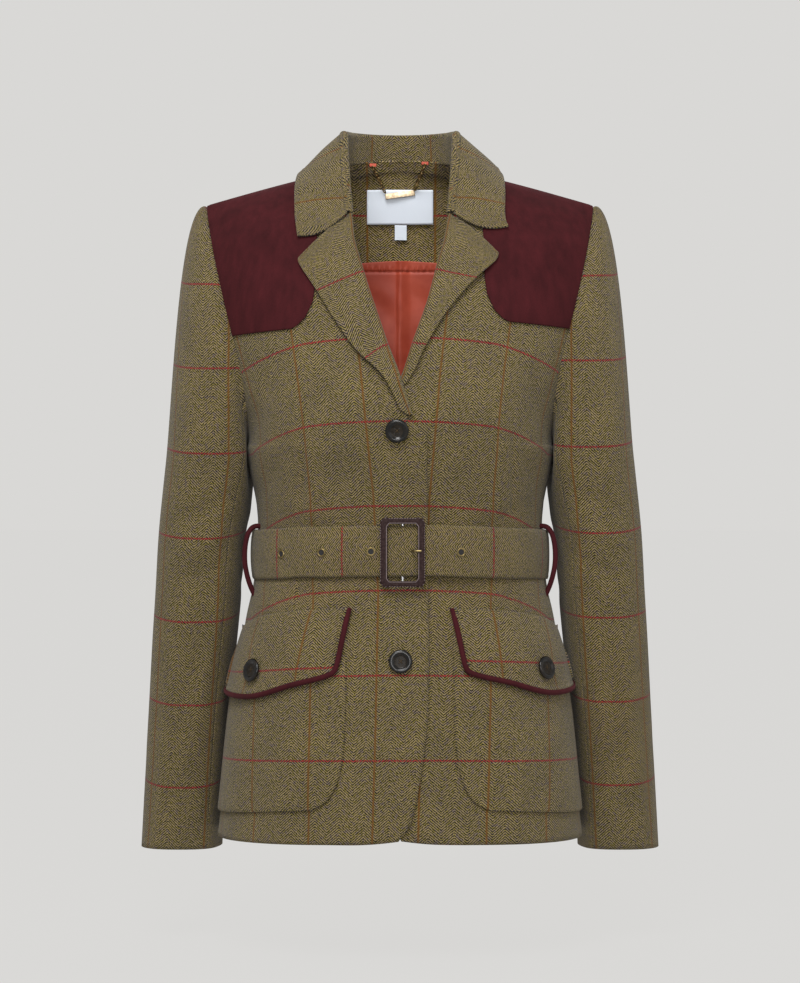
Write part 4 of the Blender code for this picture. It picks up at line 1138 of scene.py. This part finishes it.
# Buttons: dark polished horn, turned with a raised rim and a browner sunk middle, four holes crossed by
# brown thread. Two close the front and one each flap.
BUTTON_PROFILE = ((0, 2.5), (4.8, 2.55), (6.0, 2.75), (6.9, 3.5), (7.7, 4.05), (8.8, 4.25), (9.9, 4.05), (10.7, 3.5),
                  (11.15, 2.7), (11.1, 1.9), (10.2, 0.7), (8.0, 0), (0, 0))
HOLE_AT, HOLE_RADIUS = 2.1, 0.85
FLAP_BUTTON = {"right": (0.725, 0.71), "left": (0.71, 0.72)}


def polished_horn():
    made, tree, shader = started("dark_horn", 0.22)
    spot = tree.nodes.new("ShaderNodeTexCoord")
    streaks = speckle(tree, spot.outputs["Object"], 240.0, 4.0)
    streaked = mixed(tree, band(tree, streaks, 0.45, 0.75), (0.002, 0.0018, 0.0016), (0.012, 0.008, 0.005))
    tree.links.new(streaked, shader.inputs["Base Color"])
    shader.inputs["Specular IOR Level"].default_value = 0.3
    return made


def plain_finish(name, colour, roughness, metallic=0.0, grain=300.0, gloss=0.5, rough=0.3):
    made, tree, shader = started(name, roughness, metallic)
    shader.inputs["Specular IOR Level"].default_value = gloss
    spot = tree.nodes.new("ShaderNodeTexCoord")
    worn = speckle(tree, spot.outputs["Object"], grain, 3.0)
    pale = tuple(min(1.0, value * 1.25 + 0.004) for value in colour)
    deep = tuple(value * 0.7 for value in colour)
    tree.links.new(mixed(tree, band(tree, worn, 0.35, 0.7), deep, pale), shader.inputs["Base Color"])
    bumped(tree, shader, worn, 0.0001, rough)
    return made


HORN = polished_horn()
HORN_MIDDLE = plain_finish("horn_middle", (0.01, 0.007, 0.004), 0.42, 0.0, 300.0, 0.12)
# Painted shade: near-black discs stand for the dark inside of the button holes and the eyelet holes.
HOLE_SHADE = plain_finish("painted_hole_shade", (0.004, 0.003, 0.003), 0.8)
BUTTON_THREAD = plain_finish("button_thread", (0.035, 0.023, 0.012), 0.9, 0.0, 1500.0, 0.1)


def facing(point, normal):
    turn = Vector((0, 0, 1)).rotation_difference(Vector(normal)).to_matrix().to_4x4()
    return Matrix.Translation(Vector(point) * MM) @ turn


def button(node, point, normal):
    work = bmesh.new()
    corners = [work.verts.new((x * MM, 0.0, z * MM)) for x, z in BUTTON_PROFILE]
    edges = [work.edges.new(pair) for pair in zip(corners, corners[1:])]
    bmesh.ops.spin(work, geom=corners + edges, cent=(0, 0, 0), axis=(0, 0, 1), angle=2 * math.pi, steps=56,
                   use_merge=True)
    bmesh.ops.remove_doubles(work, verts=work.verts, dist=1e-6)
    bmesh.ops.recalc_face_normals(work, faces=work.faces)
    for face in work.faces:
        spot = face.calc_center_median()
        face.material_index = 1 if math.hypot(spot.x, spot.y) < 6.2 * MM and face.normal.z > 0.5 else 0
        face.smooth = True
    # The four holes are near-black discs standing just proud of the sunk middle: painted shade, not cut holes.
    for x, y in ((1, 1), (-1, 1), (-1, -1), (1, -1)):
        seat = Matrix.Translation((x * HOLE_AT * MM, y * HOLE_AT * MM, 2.4 * MM))
        hole = bmesh.ops.create_cone(work, cap_ends=True, segments=14, radius1=HOLE_RADIUS * MM,
                                     radius2=HOLE_RADIUS * MM, depth=0.5 * MM, matrix=seat)
        for face in {face for vert in hole["verts"] for face in vert.link_faces}:
            face.material_index = 2
    for turn in (0.25, 0.75):
        shift = Matrix.Rotation(turn * math.pi, 4, "Z") @ Matrix.Rotation(math.pi / 2, 4, "Y")
        thread = bmesh.ops.create_cone(work, cap_ends=True, segments=8, radius1=0.42 * MM, radius2=0.42 * MM,
                                       depth=5.6 * MM, matrix=Matrix.Translation((0, 0, 2.75 * MM)) @ shift)
        for face in {face for vert in thread["verts"] for face in vert.link_faces}:
            face.material_index = 3
            face.smooth = True
    bmesh.ops.transform(work, matrix=facing(point, normal), verts=work.verts)
    mesh = bpy.data.meshes.new(node)
    work.to_mesh(mesh)
    work.free()
    return placed(node + "_horn", mesh, (HORN, HORN_MIDDLE, HOLE_SHADE, BUTTON_THREAD), node)


for side, word in SIDES:
    u, v = (np.array(value) for value in FLAP_BUTTON[word])
    seat, proud = flap_point(word, u, v), flap_point(word, u, v, 1.0)
    ahead = flap_point(word, u + 0.05, v) - flap_point(word, u - 0.05, v)
    rising = flap_point(word, u, v - 0.05) - flap_point(word, u, v + 0.05)
    normal = unit(np.cross(ahead, rising))
    button("flap_button_" + word, mirrored(side, seat + normal * 0.8), mirrored(side, normal))
for node, x, z in (("chest_button", -2.8, -256.5), ("skirt_button", 0.5, -474.0)):
    seat = on(FRONT, x, z, LAP + 0.9)
    button(node, seat, unit(on(FRONT, x, z, LAP + 2.0) - seat))


# Belt: one tweed strap cut lengthwise, from the buckle bar round the waist and over its own start, with
# a stitched edge and four brass eyelets.
BELT_HEIGHT, BELT_WIDTH, BELT_THICK, BELT_DROOP = -369.8, 48.0, 1.6, 5.5
BELT_START, BELT_END, BELT_OVER = 0.045, 5.35, 10.6
BELT_LIFT = ((0.0, 7.9), (0.3, 7.3), (0.8, 2.6), (1.6, 3.0), (2.2, 6.2), (2.8, 5.0), (3.2, 5.0), (3.5, 7.0),
             (3.85, BELT_OVER), (4.3, 10.0), (4.8, 5.2), (5.35, 5.6))
BELT_LEVEL = level_at(FRONT, 0.0, BELT_HEIGHT)
BELT_RED_X = -52.3
EYELET_X = (-109.0, -71.5, -26.5, 55.4)
EYELET_RING, EYELET_WIRE = 3.4, 0.9


def belt_point(turn, rise, lift):
    """Points outside the waist: turn 0 is the front, 1 the left side, 2 the back, 3 the right."""
    turn, rise, lift = alike(turn, rise, lift)
    quarter = turn % 4.0
    behind = (quarter > 1.0) & (quarter < 3.0)
    across = np.where(behind, 2.0 - quarter, np.where(quarter <= 1.0, quarter, quarter - 4.0))
    level = np.full(turn.shape, float(BELT_LEVEL))
    points, outs = [], []
    for panel in (FRONT, BACK):
        along = bare(panel, np.minimum(across + 0.01, 1.0), level)
        along = along - bare(panel, np.maximum(across - 0.01, -1.0), level)
        out = np.stack((-along[..., 1], along[..., 0], np.zeros(turn.shape)), axis=-1) * panel.faces
        outs.append(out / np.linalg.norm(out, axis=-1, keepdims=True))
        points.append(bare(panel, across, level))
    out = np.where(behind[..., None], outs[1], outs[0])
    point = np.where(behind[..., None], points[1], points[0])
    point[..., 2] = BELT_HEIGHT - BELT_DROOP * np.sin(across * np.pi / 2) ** 2 + rise
    return point + out * lift[..., None], out


def belt_place(u, v):
    turn = BELT_START + (BELT_END - BELT_START) * u
    wave = 0.7 * np.sin(turn * 11.0) + 0.5 * np.sin(turn * 23.0 + 1.0)
    bowl = -1.3 * (2.0 * v - 1.0) ** 2 * (1.0 + 0.5 * np.sin(turn * 7.0))
    lift = lookup(BELT_LIFT, turn) + 0.25 * wave + bowl + 0.9
    return belt_point(turn, (v - 0.5) * BELT_WIDTH + 0.5 * wave, lift)[0]


belt_red = 4.0 + float(across_at(FRONT, BELT_RED_X, BELT_LEVEL))
belt_turns = np.linspace(BELT_START, BELT_END, 500)
belt_run = run_along(belt_point(belt_turns, 0.0, lookup(BELT_LIFT, belt_turns))[0])


def belt_weave(u, v, points):
    turn = BELT_START + (BELT_END - BELT_START) * u
    run = np.interp(turn, belt_turns, belt_run) - np.interp(belt_red, belt_turns, belt_run)
    return np.stack(((v - 0.5) * BELT_WIDTH + 30.0, run * RED_PITCH / 73.5), axis=-1)


def belt_fall(u, v, points):
    rim = np.minimum(v, 1.0 - v) * BELT_WIDTH
    return -0.4 * np.exp(-((rim - 4.0) / 0.9) ** 2) - 0.6 * np.exp(-(rim / 0.8) ** 2)


belt = cloth("belt", 400, 20, belt_place, belt_weave, BELT_THICK, TWEED_CLOTH, belt_fall)
BRASS = plain_finish("aged_brass", (0.2, 0.15, 0.065), 0.35, 1.0)
for index, x in enumerate(EYELET_X):
    turn = 4.0 + across_at(FRONT, x, BELT_LEVEL) * 0.985
    seat, out = belt_point(turn, -0.6, lookup(BELT_LIFT, turn) + EYELET_WIRE + 0.3)
    work = bmesh.new()
    across_wire = Matrix.Translation((EYELET_RING * MM, 0, 0)) @ Matrix.Rotation(math.pi / 2, 4, "X")
    ring = bmesh.ops.create_circle(work, segments=12, radius=EYELET_WIRE * MM, matrix=across_wire)
    bmesh.ops.spin(work, geom=ring["verts"] + work.edges[:], cent=(0, 0, 0), axis=(0, 0, 1),
                   angle=2 * math.pi, steps=36, use_merge=True)
    bmesh.ops.remove_doubles(work, verts=work.verts, dist=1e-6)
    bmesh.ops.recalc_face_normals(work, faces=work.faces)
    for face in work.faces:
        face.smooth = True
    # The eyelet's hole is a near-black disc across the ring: painted shade.
    hole = bmesh.ops.create_circle(work, cap_ends=True, segments=24, radius=(EYELET_RING - 0.4) * MM,
                                   matrix=Matrix.Translation((0, 0, 0.2 * MM)))
    for face in hole["verts"][0].link_faces:
        face.material_index = 1
    bmesh.ops.transform(work, matrix=facing(seat, out), verts=work.verts)
    mesh = bpy.data.meshes.new(f"eyelet_{index + 1}")
    work.to_mesh(mesh)
    work.free()
    placed(f"eyelet_{index + 1}_ring", mesh, (BRASS, HOLE_SHADE), f"eyelet_{index + 1}")


# Buckle: a frame covered in dark brown leather and stitched near its outer edge, with a painted highlight as a
# pale line round its inner side, on a bright steel bar behind the strap, with a brass prong resting on its left side.
BUCKLE_X, BUCKLE_Z = 2.4, -371.2
FRAME_OUTER, FRAME_WINDOW, FRAME_THICK = (42.2, 64.7), (28.2, 53.6), 4.0
FRAME_CORNER = 5.2
BAR_RADIUS, BAR_LIFT, PRONG_RADIUS = 1.2, 6.6, 1.1
STITCHES = 74
BUCKLE_LEATHER = plain_finish("buckle_leather", (0.019, 0.009, 0.0085), 0.5, 0.0, 500.0, 0.07, 0.06)
# Pale thread colour for the stitches and for the painted highlight ring on the frame.
BUCKLE_THREAD_AND_HIGHLIGHT = plain_finish("buckle_thread_and_painted_highlight", (0.17, 0.135, 0.135), 0.7, 0.0, 1500.0, 0.2)
STEEL = plain_finish("bright_steel", (0.62, 0.62, 0.62), 0.25, 1.0)


def frame_line(share):
    """Middle line of the buckle frame and the way out from it, at shares of one turn."""
    wide, tall = (FRAME_OUTER[0] + FRAME_WINDOW[0]) / 4, (FRAME_OUTER[1] + FRAME_WINDOW[1]) / 4
    places, outs = [], []
    for corner, (right, top) in enumerate(((1, 1), (-1, 1), (-1, -1), (1, -1))):
        for step in range(13):
            turn = math.radians(90 * corner + 7.5 * step)
            outs.append((math.cos(turn), math.sin(turn)))
            places.append((right * (wide - FRAME_CORNER) + FRAME_CORNER * outs[-1][0],
                           top * (tall - FRAME_CORNER) + FRAME_CORNER * outs[-1][1]))
    places.append(places[0])
    outs.append(outs[0])
    runs = run_along(np.array(places))
    at = share * runs[-1]
    line = np.stack([np.interp(at, runs, column) for column in np.array(places).T], axis=-1)
    out = np.stack([np.interp(at, runs, column) for column in np.array(outs).T], axis=-1)
    return line, out / np.linalg.norm(out, axis=-1, keepdims=True)


def frame_point(share, turn, proud=0.0):
    line, out = frame_line(share)
    half = 3.5 * np.abs(out[:, 0]) + 2.78 * np.abs(out[:, 1])
    cosine, sine = np.cos(turn), np.sin(turn)
    aside = (half + proud) * np.copysign(np.abs(cosine) ** 0.62, cosine)
    ahead = (FRAME_THICK / 2 + proud) * np.copysign(np.abs(sine) ** 0.62, sine)
    middle = belt_point(0.0, 0.0, BELT_OVER + 0.9 + FRAME_THICK / 2)[0][1]
    flat = line + out * aside[:, None]
    return np.stack((BUCKLE_X + flat[:, 0], middle - ahead, BUCKLE_Z + flat[:, 1]), axis=-1)


work = bmesh.new()
bmesh.ops.create_grid(work, x_segments=240, y_segments=28, size=0.5)
flat = np.array([vert.co[:2] for vert in work.verts]) + 0.5
for vert, point in zip(work.verts, frame_point(flat[:, 0], flat[:, 1] * 2 * math.pi) * MM):
    vert.co = point
bmesh.ops.remove_doubles(work, verts=work.verts, dist=1e-6)
bmesh.ops.recalc_face_normals(work, faces=work.faces)
for face in work.faces:
    face.smooth = True
# Painted highlight: a thin pale ring in the stitch colour runs round the inner side of the frame's face, standing for
# the line of light along its inner edge.
highlight_strip = bmesh.ops.create_grid(work, x_segments=240, y_segments=6, size=0.5)["verts"]
flat = np.array([vert.co[:2] for vert in highlight_strip]) + 0.5
turns = flat[:, 1] * 2 * math.pi
for vert, point in zip(highlight_strip, frame_point(flat[:, 0], 2.15 + 0.11 * np.cos(turns), 0.3 * np.sin(turns)) * MM):
    vert.co = point
for face in {face for vert in highlight_strip for face in vert.link_faces}:
    face.material_index = 1
    face.smooth = True
bmesh.ops.remove_doubles(work, verts=highlight_strip, dist=1e-6)
bmesh.ops.recalc_face_normals(work, faces=work.faces)
shares = (np.arange(STITCHES) + 0.5) / STITCHES
seats, ahead = (frame_point(shares + step, np.full(STITCHES, 0.7), 0.02) for step in (0.0, 0.002))
for seat, toward in zip(seats, ahead):
    turn = Vector((1, 0, 0)).rotation_difference(Vector(toward - seat)).to_matrix().to_4x4()
    shape = Matrix.Translation(Vector(seat * MM)) @ turn @ Matrix.Diagonal((0.9, 0.34, 0.3, 1.0))
    stitch = bmesh.ops.create_icosphere(work, subdivisions=1, radius=MM, matrix=shape)
    for face in {face for vert in stitch["verts"] for face in vert.link_faces}:
        face.material_index = 1
        face.smooth = True
mesh = bpy.data.meshes.new("buckle_frame")
work.to_mesh(mesh)
work.free()
placed("buckle_frame_leather", mesh, (BUCKLE_LEATHER, BUCKLE_THREAD_AND_HIGHLIGHT), "buckle_frame")

bar_y = belt_point(0.0, 0.0, BAR_LIFT)[0][1]
bar_line = np.array([(BUCKLE_X, bar_y, BUCKLE_Z + z) for z in (-29.0, -10.0, 10.0, 29.0)])
tube("buckle_bar", bar_line, BAR_RADIUS, STEEL)
low_y = belt_point(0.0, 0.0, BELT_OVER + 0.5 + PRONG_RADIUS)[0][1]
high_y = belt_point(0.0, 0.0, BELT_OVER + 0.9 + FRAME_THICK + PRONG_RADIUS + 0.5)[0][1]
prong_run = ((9.0, low_y), (10.0, (low_y + high_y) / 2), (11.5, high_y), (14.0, high_y), (17.5, high_y + 0.3))
prong_line = np.array([(BUCKLE_X + x, y, BUCKLE_Z + 1.5) for x, y in prong_run])
tube("buckle_prong", prong_line, PRONG_RADIUS, BRASS)


# Belt loops: burgundy suede rouleaux sewn to the waist at each side, standing off the belt they carry.
LOOP_TURN, LOOP_RADIUS = 0.86, 2.5
LOOP = np.array(((27.0, -3.0), (27.5, 2.0), (25.5, 7.0), (19.0, 11.0), (8.0, 13.4), (-6.0, 13.8), (-18.0, 12.0),
                 (-30.0, 8.4), (-40.0, 3.6), (-44.0, 0.0)))
for side, word in SIDES:
    knots = smooth(LOOP, np.linspace(0.0, len(LOOP) - 1, 50))
    points = belt_point(np.full(50, LOOP_TURN), knots[:, 0], knots[:, 1])[0]
    tube("belt_loop_" + word, mirrored(side, points), LOOP_RADIUS, PIPING_SUEDE)


# Inside the back: a tweed neck facing, then coral satin lining with a stitched top band and a centre
# pleat. A bare label and size tab are sewn to the facing under a chain hanger with a plain gilt bar.
FACING_FOOT, FACING_HALF, FACING_THICK, FACING_TOP = -84.0, 98.0, 1.4, 17.0
FACING_LIFT = -(TWEED + 4 * LAYER + FACING_THICK)
SATIN = 1.0
LINING_LIFT = FACING_LIFT - LAYER - SATIN
LINING_TOP, LINING_FOOT, PLEAT = -79.0, -618.0, 3.6


STAND_FOOT = np.array([station[0:3] for station in COLLAR[:4]]).T


def facing_place(u, v):
    x = (2.0 * u - 1.0) * FACING_HALF
    foot = level_at(BACK, 0.0, FACING_FOOT)
    level = foot + (np.minimum(nape_level(x) - 0.16, FACING_TOP) - foot) * np.minimum(v / 0.8, 1.0)
    points = body(BACK, across_at(BACK, x, level), level, FACING_LIFT + 2.0)
    seam_y = np.interp(np.abs(x), *STAND_FOOT[:2]) - 1.6
    seam = np.stack((x, seam_y, np.interp(np.abs(x), *STAND_FOOT[::2]) + 1.5), axis=-1)
    rising = np.maximum(v - 0.8, 0.0) / 0.2 * (1.0 - ease(48.0, 57.0, np.abs(x)))
    return points + (seam - points) * rising[:, None]


def facing_weave(u, v, points):
    warp, weft = (points[:, 0] + 33.0) * BROWN_PITCH / 68.5, (points[:, 2] + 36.0) * RED_PITCH / RED_STEP
    return np.stack((warp, weft), axis=-1)


# Painted light: the neck facing is the same tweed painted 1.6 times lighter, standing in for light inside the back.
neck = cloth("neck_facing", 90, 60, facing_place, facing_weave,
             FACING_THICK, woven_tweed("facing_tweed_painted_lighter", 1.6))


def coral_satin():
    made, tree, shader = started("coral_satin", 0.5)
    spot = tree.nodes.new("ShaderNodeTexCoord")
    clouds = speckle(tree, spot.outputs["Object"], 34.0, 3.0)
    coral = mixed(tree, band(tree, clouds, 0.3, 0.75), (0.27, 0.038, 0.019), (0.38, 0.066, 0.036))
    tree.links.new(coral, shader.inputs["Base Color"])
    shader.inputs["Specular IOR Level"].default_value = 0.22
    bumped(tree, shader, speckle(tree, spot.outputs["Object"], 1800.0, 1.0), 0.0001, 0.15)
    return made


CORAL = coral_satin()


def lining_place(u, v):
    across = np.interp(u, (0.0, 0.15, 0.85, 1.0), (-0.9, -0.26, 0.26, 0.9))
    foot, top = level_at(BACK, 0.0, LINING_FOOT), level_at(BACK, 0.0, LINING_TOP)
    level = foot + (top - foot) * np.interp(v, (0.0, 0.65, 1.0), (0.0, 0.9, 1.0))
    x = bare(BACK, across, level)[:, 0]
    pleat = PLEAT * ease(-2.6, -1.6, x) * (1.0 - ease(-1.0, 12.0, x))
    return body(BACK, across, level, LINING_LIFT - pleat)


def lining_fall(u, v, points):
    x, z = points[:, 0], points[:, 2]
    band_z = z - LINING_TOP
    puckers = 0.8 * np.sin(x * 1.1 + 0.8 * np.sin(x * 0.37)) * np.exp(-((band_z + 10.0) / 2.6) ** 2)
    puckers = puckers - 1.8 * np.exp(-((band_z + 13.0) / 1.0) ** 2)
    rolls = 1.6 * np.sin(x * 0.13 + z * 0.06) * np.sin(z * 0.07 + 0.5) * ease(14.0, 40.0, -band_z)
    return puckers + rolls


lining = cloth("back_lining", 160, 160, lining_place, plain_weave, SATIN, CORAL, lining_fall)


def woven_tape(name, colour):
    made, tree, shader = started(name, 0.5)
    spot = tree.nodes.new("ShaderNodeTexCoord")
    threads = tree.nodes.new("ShaderNodeTexWave")
    threads.inputs["Scale"].default_value = 900.0
    threads.inputs["Distortion"].default_value = 0.5
    tree.links.new(spot.outputs["Object"], threads.inputs["Vector"])
    deep, pale = tuple(value * 0.95 for value in colour), tuple(min(1.0, value * 1.05) for value in colour)
    tree.links.new(mixed(tree, threads.outputs["Fac"], deep, pale), shader.inputs["Base Color"])
    shader.inputs["Sheen Weight"].default_value = 0.15
    bumped(tree, shader, threads.outputs["Fac"], 0.0001, 0.2)
    return made


TAPE = woven_tape("label_tape", (0.7, 0.75, 0.82))
LABEL_LIFT = FACING_LIFT - 1.6
for node, left, right, foot, top, flat in (("label", -34.3, 34.3, -42.0, -8.0, (0.0686, 0.035)),
                                           ("size_tab", -5.5, 7.0, -58.0, -42.8, (0.0125, 0.016))):
    def tape_place(u, v):
        return on(BACK, left + (right - left) * u, foot + (top - foot) * v, LABEL_LIFT)

    def tape_fall(u, v, points):
        rim = np.minimum(np.minimum(u, 1 - u) * (right - left), np.minimum(v, 1 - v) * (top - foot))
        return -0.25 * np.exp(-((rim - 1.5) / 0.5) ** 2) + 0.3 * np.sin(points[:, 0] * 0.16)

    tape = cloth(node, 30, 16, tape_place, plain_weave, 0.6, TAPE, tape_fall)

HANGER_LIFT = LABEL_LIFT - 2.4
TABS = {"left": (25.0, 51.5, 13.5), "right": (-27.0, 50.0, 11.5)}
TAB_SIZE = (7.0, 1.2, 3.2)
BAR_END = {"left": (15.5, -10.5), "right": (-16.0, -13.0)}
BAR_SIZE, BAR_TILT = (30.0, 1.0, 5.6), -8.0
LINKS, LINK_RING, LINK_WIRE = 9, 1.5, 0.6
CORAL_THREAD = plain_finish("coral_thread", (0.42, 0.06, 0.028), 0.7, 0.0, 1400.0)
GILT = plain_finish("gilt_plate", (0.6, 0.47, 0.31), 0.5, 1.0)
CHAIN_BRASS = plain_finish("dark_chain", (0.3, 0.2, 0.085), 0.35, 1.0)


def soft_block(node, size, point, tilt, rounding, finish):
    work = bmesh.new()
    bmesh.ops.create_cube(work, size=1.0, matrix=Matrix.Diagonal((*(value * MM for value in size), 1.0)))
    bmesh.ops.bevel(work, geom=work.edges[:], offset=rounding * MM, affect="EDGES", segments=3, profile=0.5,
                    material=-1)
    shift = Matrix.Translation(Vector(point) * MM) @ Matrix.Rotation(math.radians(tilt), 4, "Y")
    bmesh.ops.transform(work, matrix=shift, verts=work.verts)
    for face in work.faces:
        face.smooth = True
    mesh = bpy.data.meshes.new(node)
    work.to_mesh(mesh)
    work.free()
    return placed(node + "_made", mesh, finish, node)


for side, word in SIDES:
    tab = np.array(TABS[word])
    soft_block("hanger_tab_" + word, TAB_SIZE, tab, 0.0, 0.5, CORAL_THREAD)
    begin = tab + np.array((0.0, -0.4, -1.5))
    finish = on(BACK, BAR_END[word][0], BAR_END[word][1] + 3.0, HANGER_LIFT)
    work = bmesh.new()
    for index in range(LINKS):
        middle = begin + (finish - begin) * (index + 0.5) / LINKS
        across_wire = Matrix.Translation((LINK_RING * MM, 0, 0)) @ Matrix.Rotation(math.pi / 2, 4, "X")
        ring = bmesh.ops.create_circle(work, segments=8, radius=LINK_WIRE * MM, matrix=across_wire)["verts"]
        ring_edges = list({edge for vert in ring for edge in vert.link_edges})
        bmesh.ops.spin(work, geom=ring + ring_edges, cent=(0, 0, 0), axis=(0, 0, 1), angle=2 * math.pi,
                       steps=14, use_merge=True)
        loop = [vert for vert in work.verts if not vert.tag]
        lie = Vector((0, 1, 0)).rotation_difference(Vector(finish - begin)).to_matrix().to_4x4()
        twist = Matrix.Rotation(math.radians(25 + 90 * (index % 2)), 4, "Y") @ Matrix.Diagonal((1, 1.55, 1, 1))
        bmesh.ops.transform(work, matrix=Matrix.Translation(Vector(middle * MM)) @ lie @ twist, verts=loop)
        for vert in loop:
            vert.tag = True
    bmesh.ops.remove_doubles(work, verts=work.verts, dist=1e-7)
    bmesh.ops.recalc_face_normals(work, faces=work.faces)
    for face in work.faces:
        face.smooth = True
    mesh = bpy.data.meshes.new("hanger_chain_" + word)
    work.to_mesh(mesh)
    work.free()
    placed("hanger_chain_" + word + "_links", mesh, CHAIN_BRASS, "hanger_chain_" + word)
soft_block("hanger_bar", BAR_SIZE, on(BACK, 0.0, -12.5, HANGER_LIFT), BAR_TILT, 0.5, GILT)
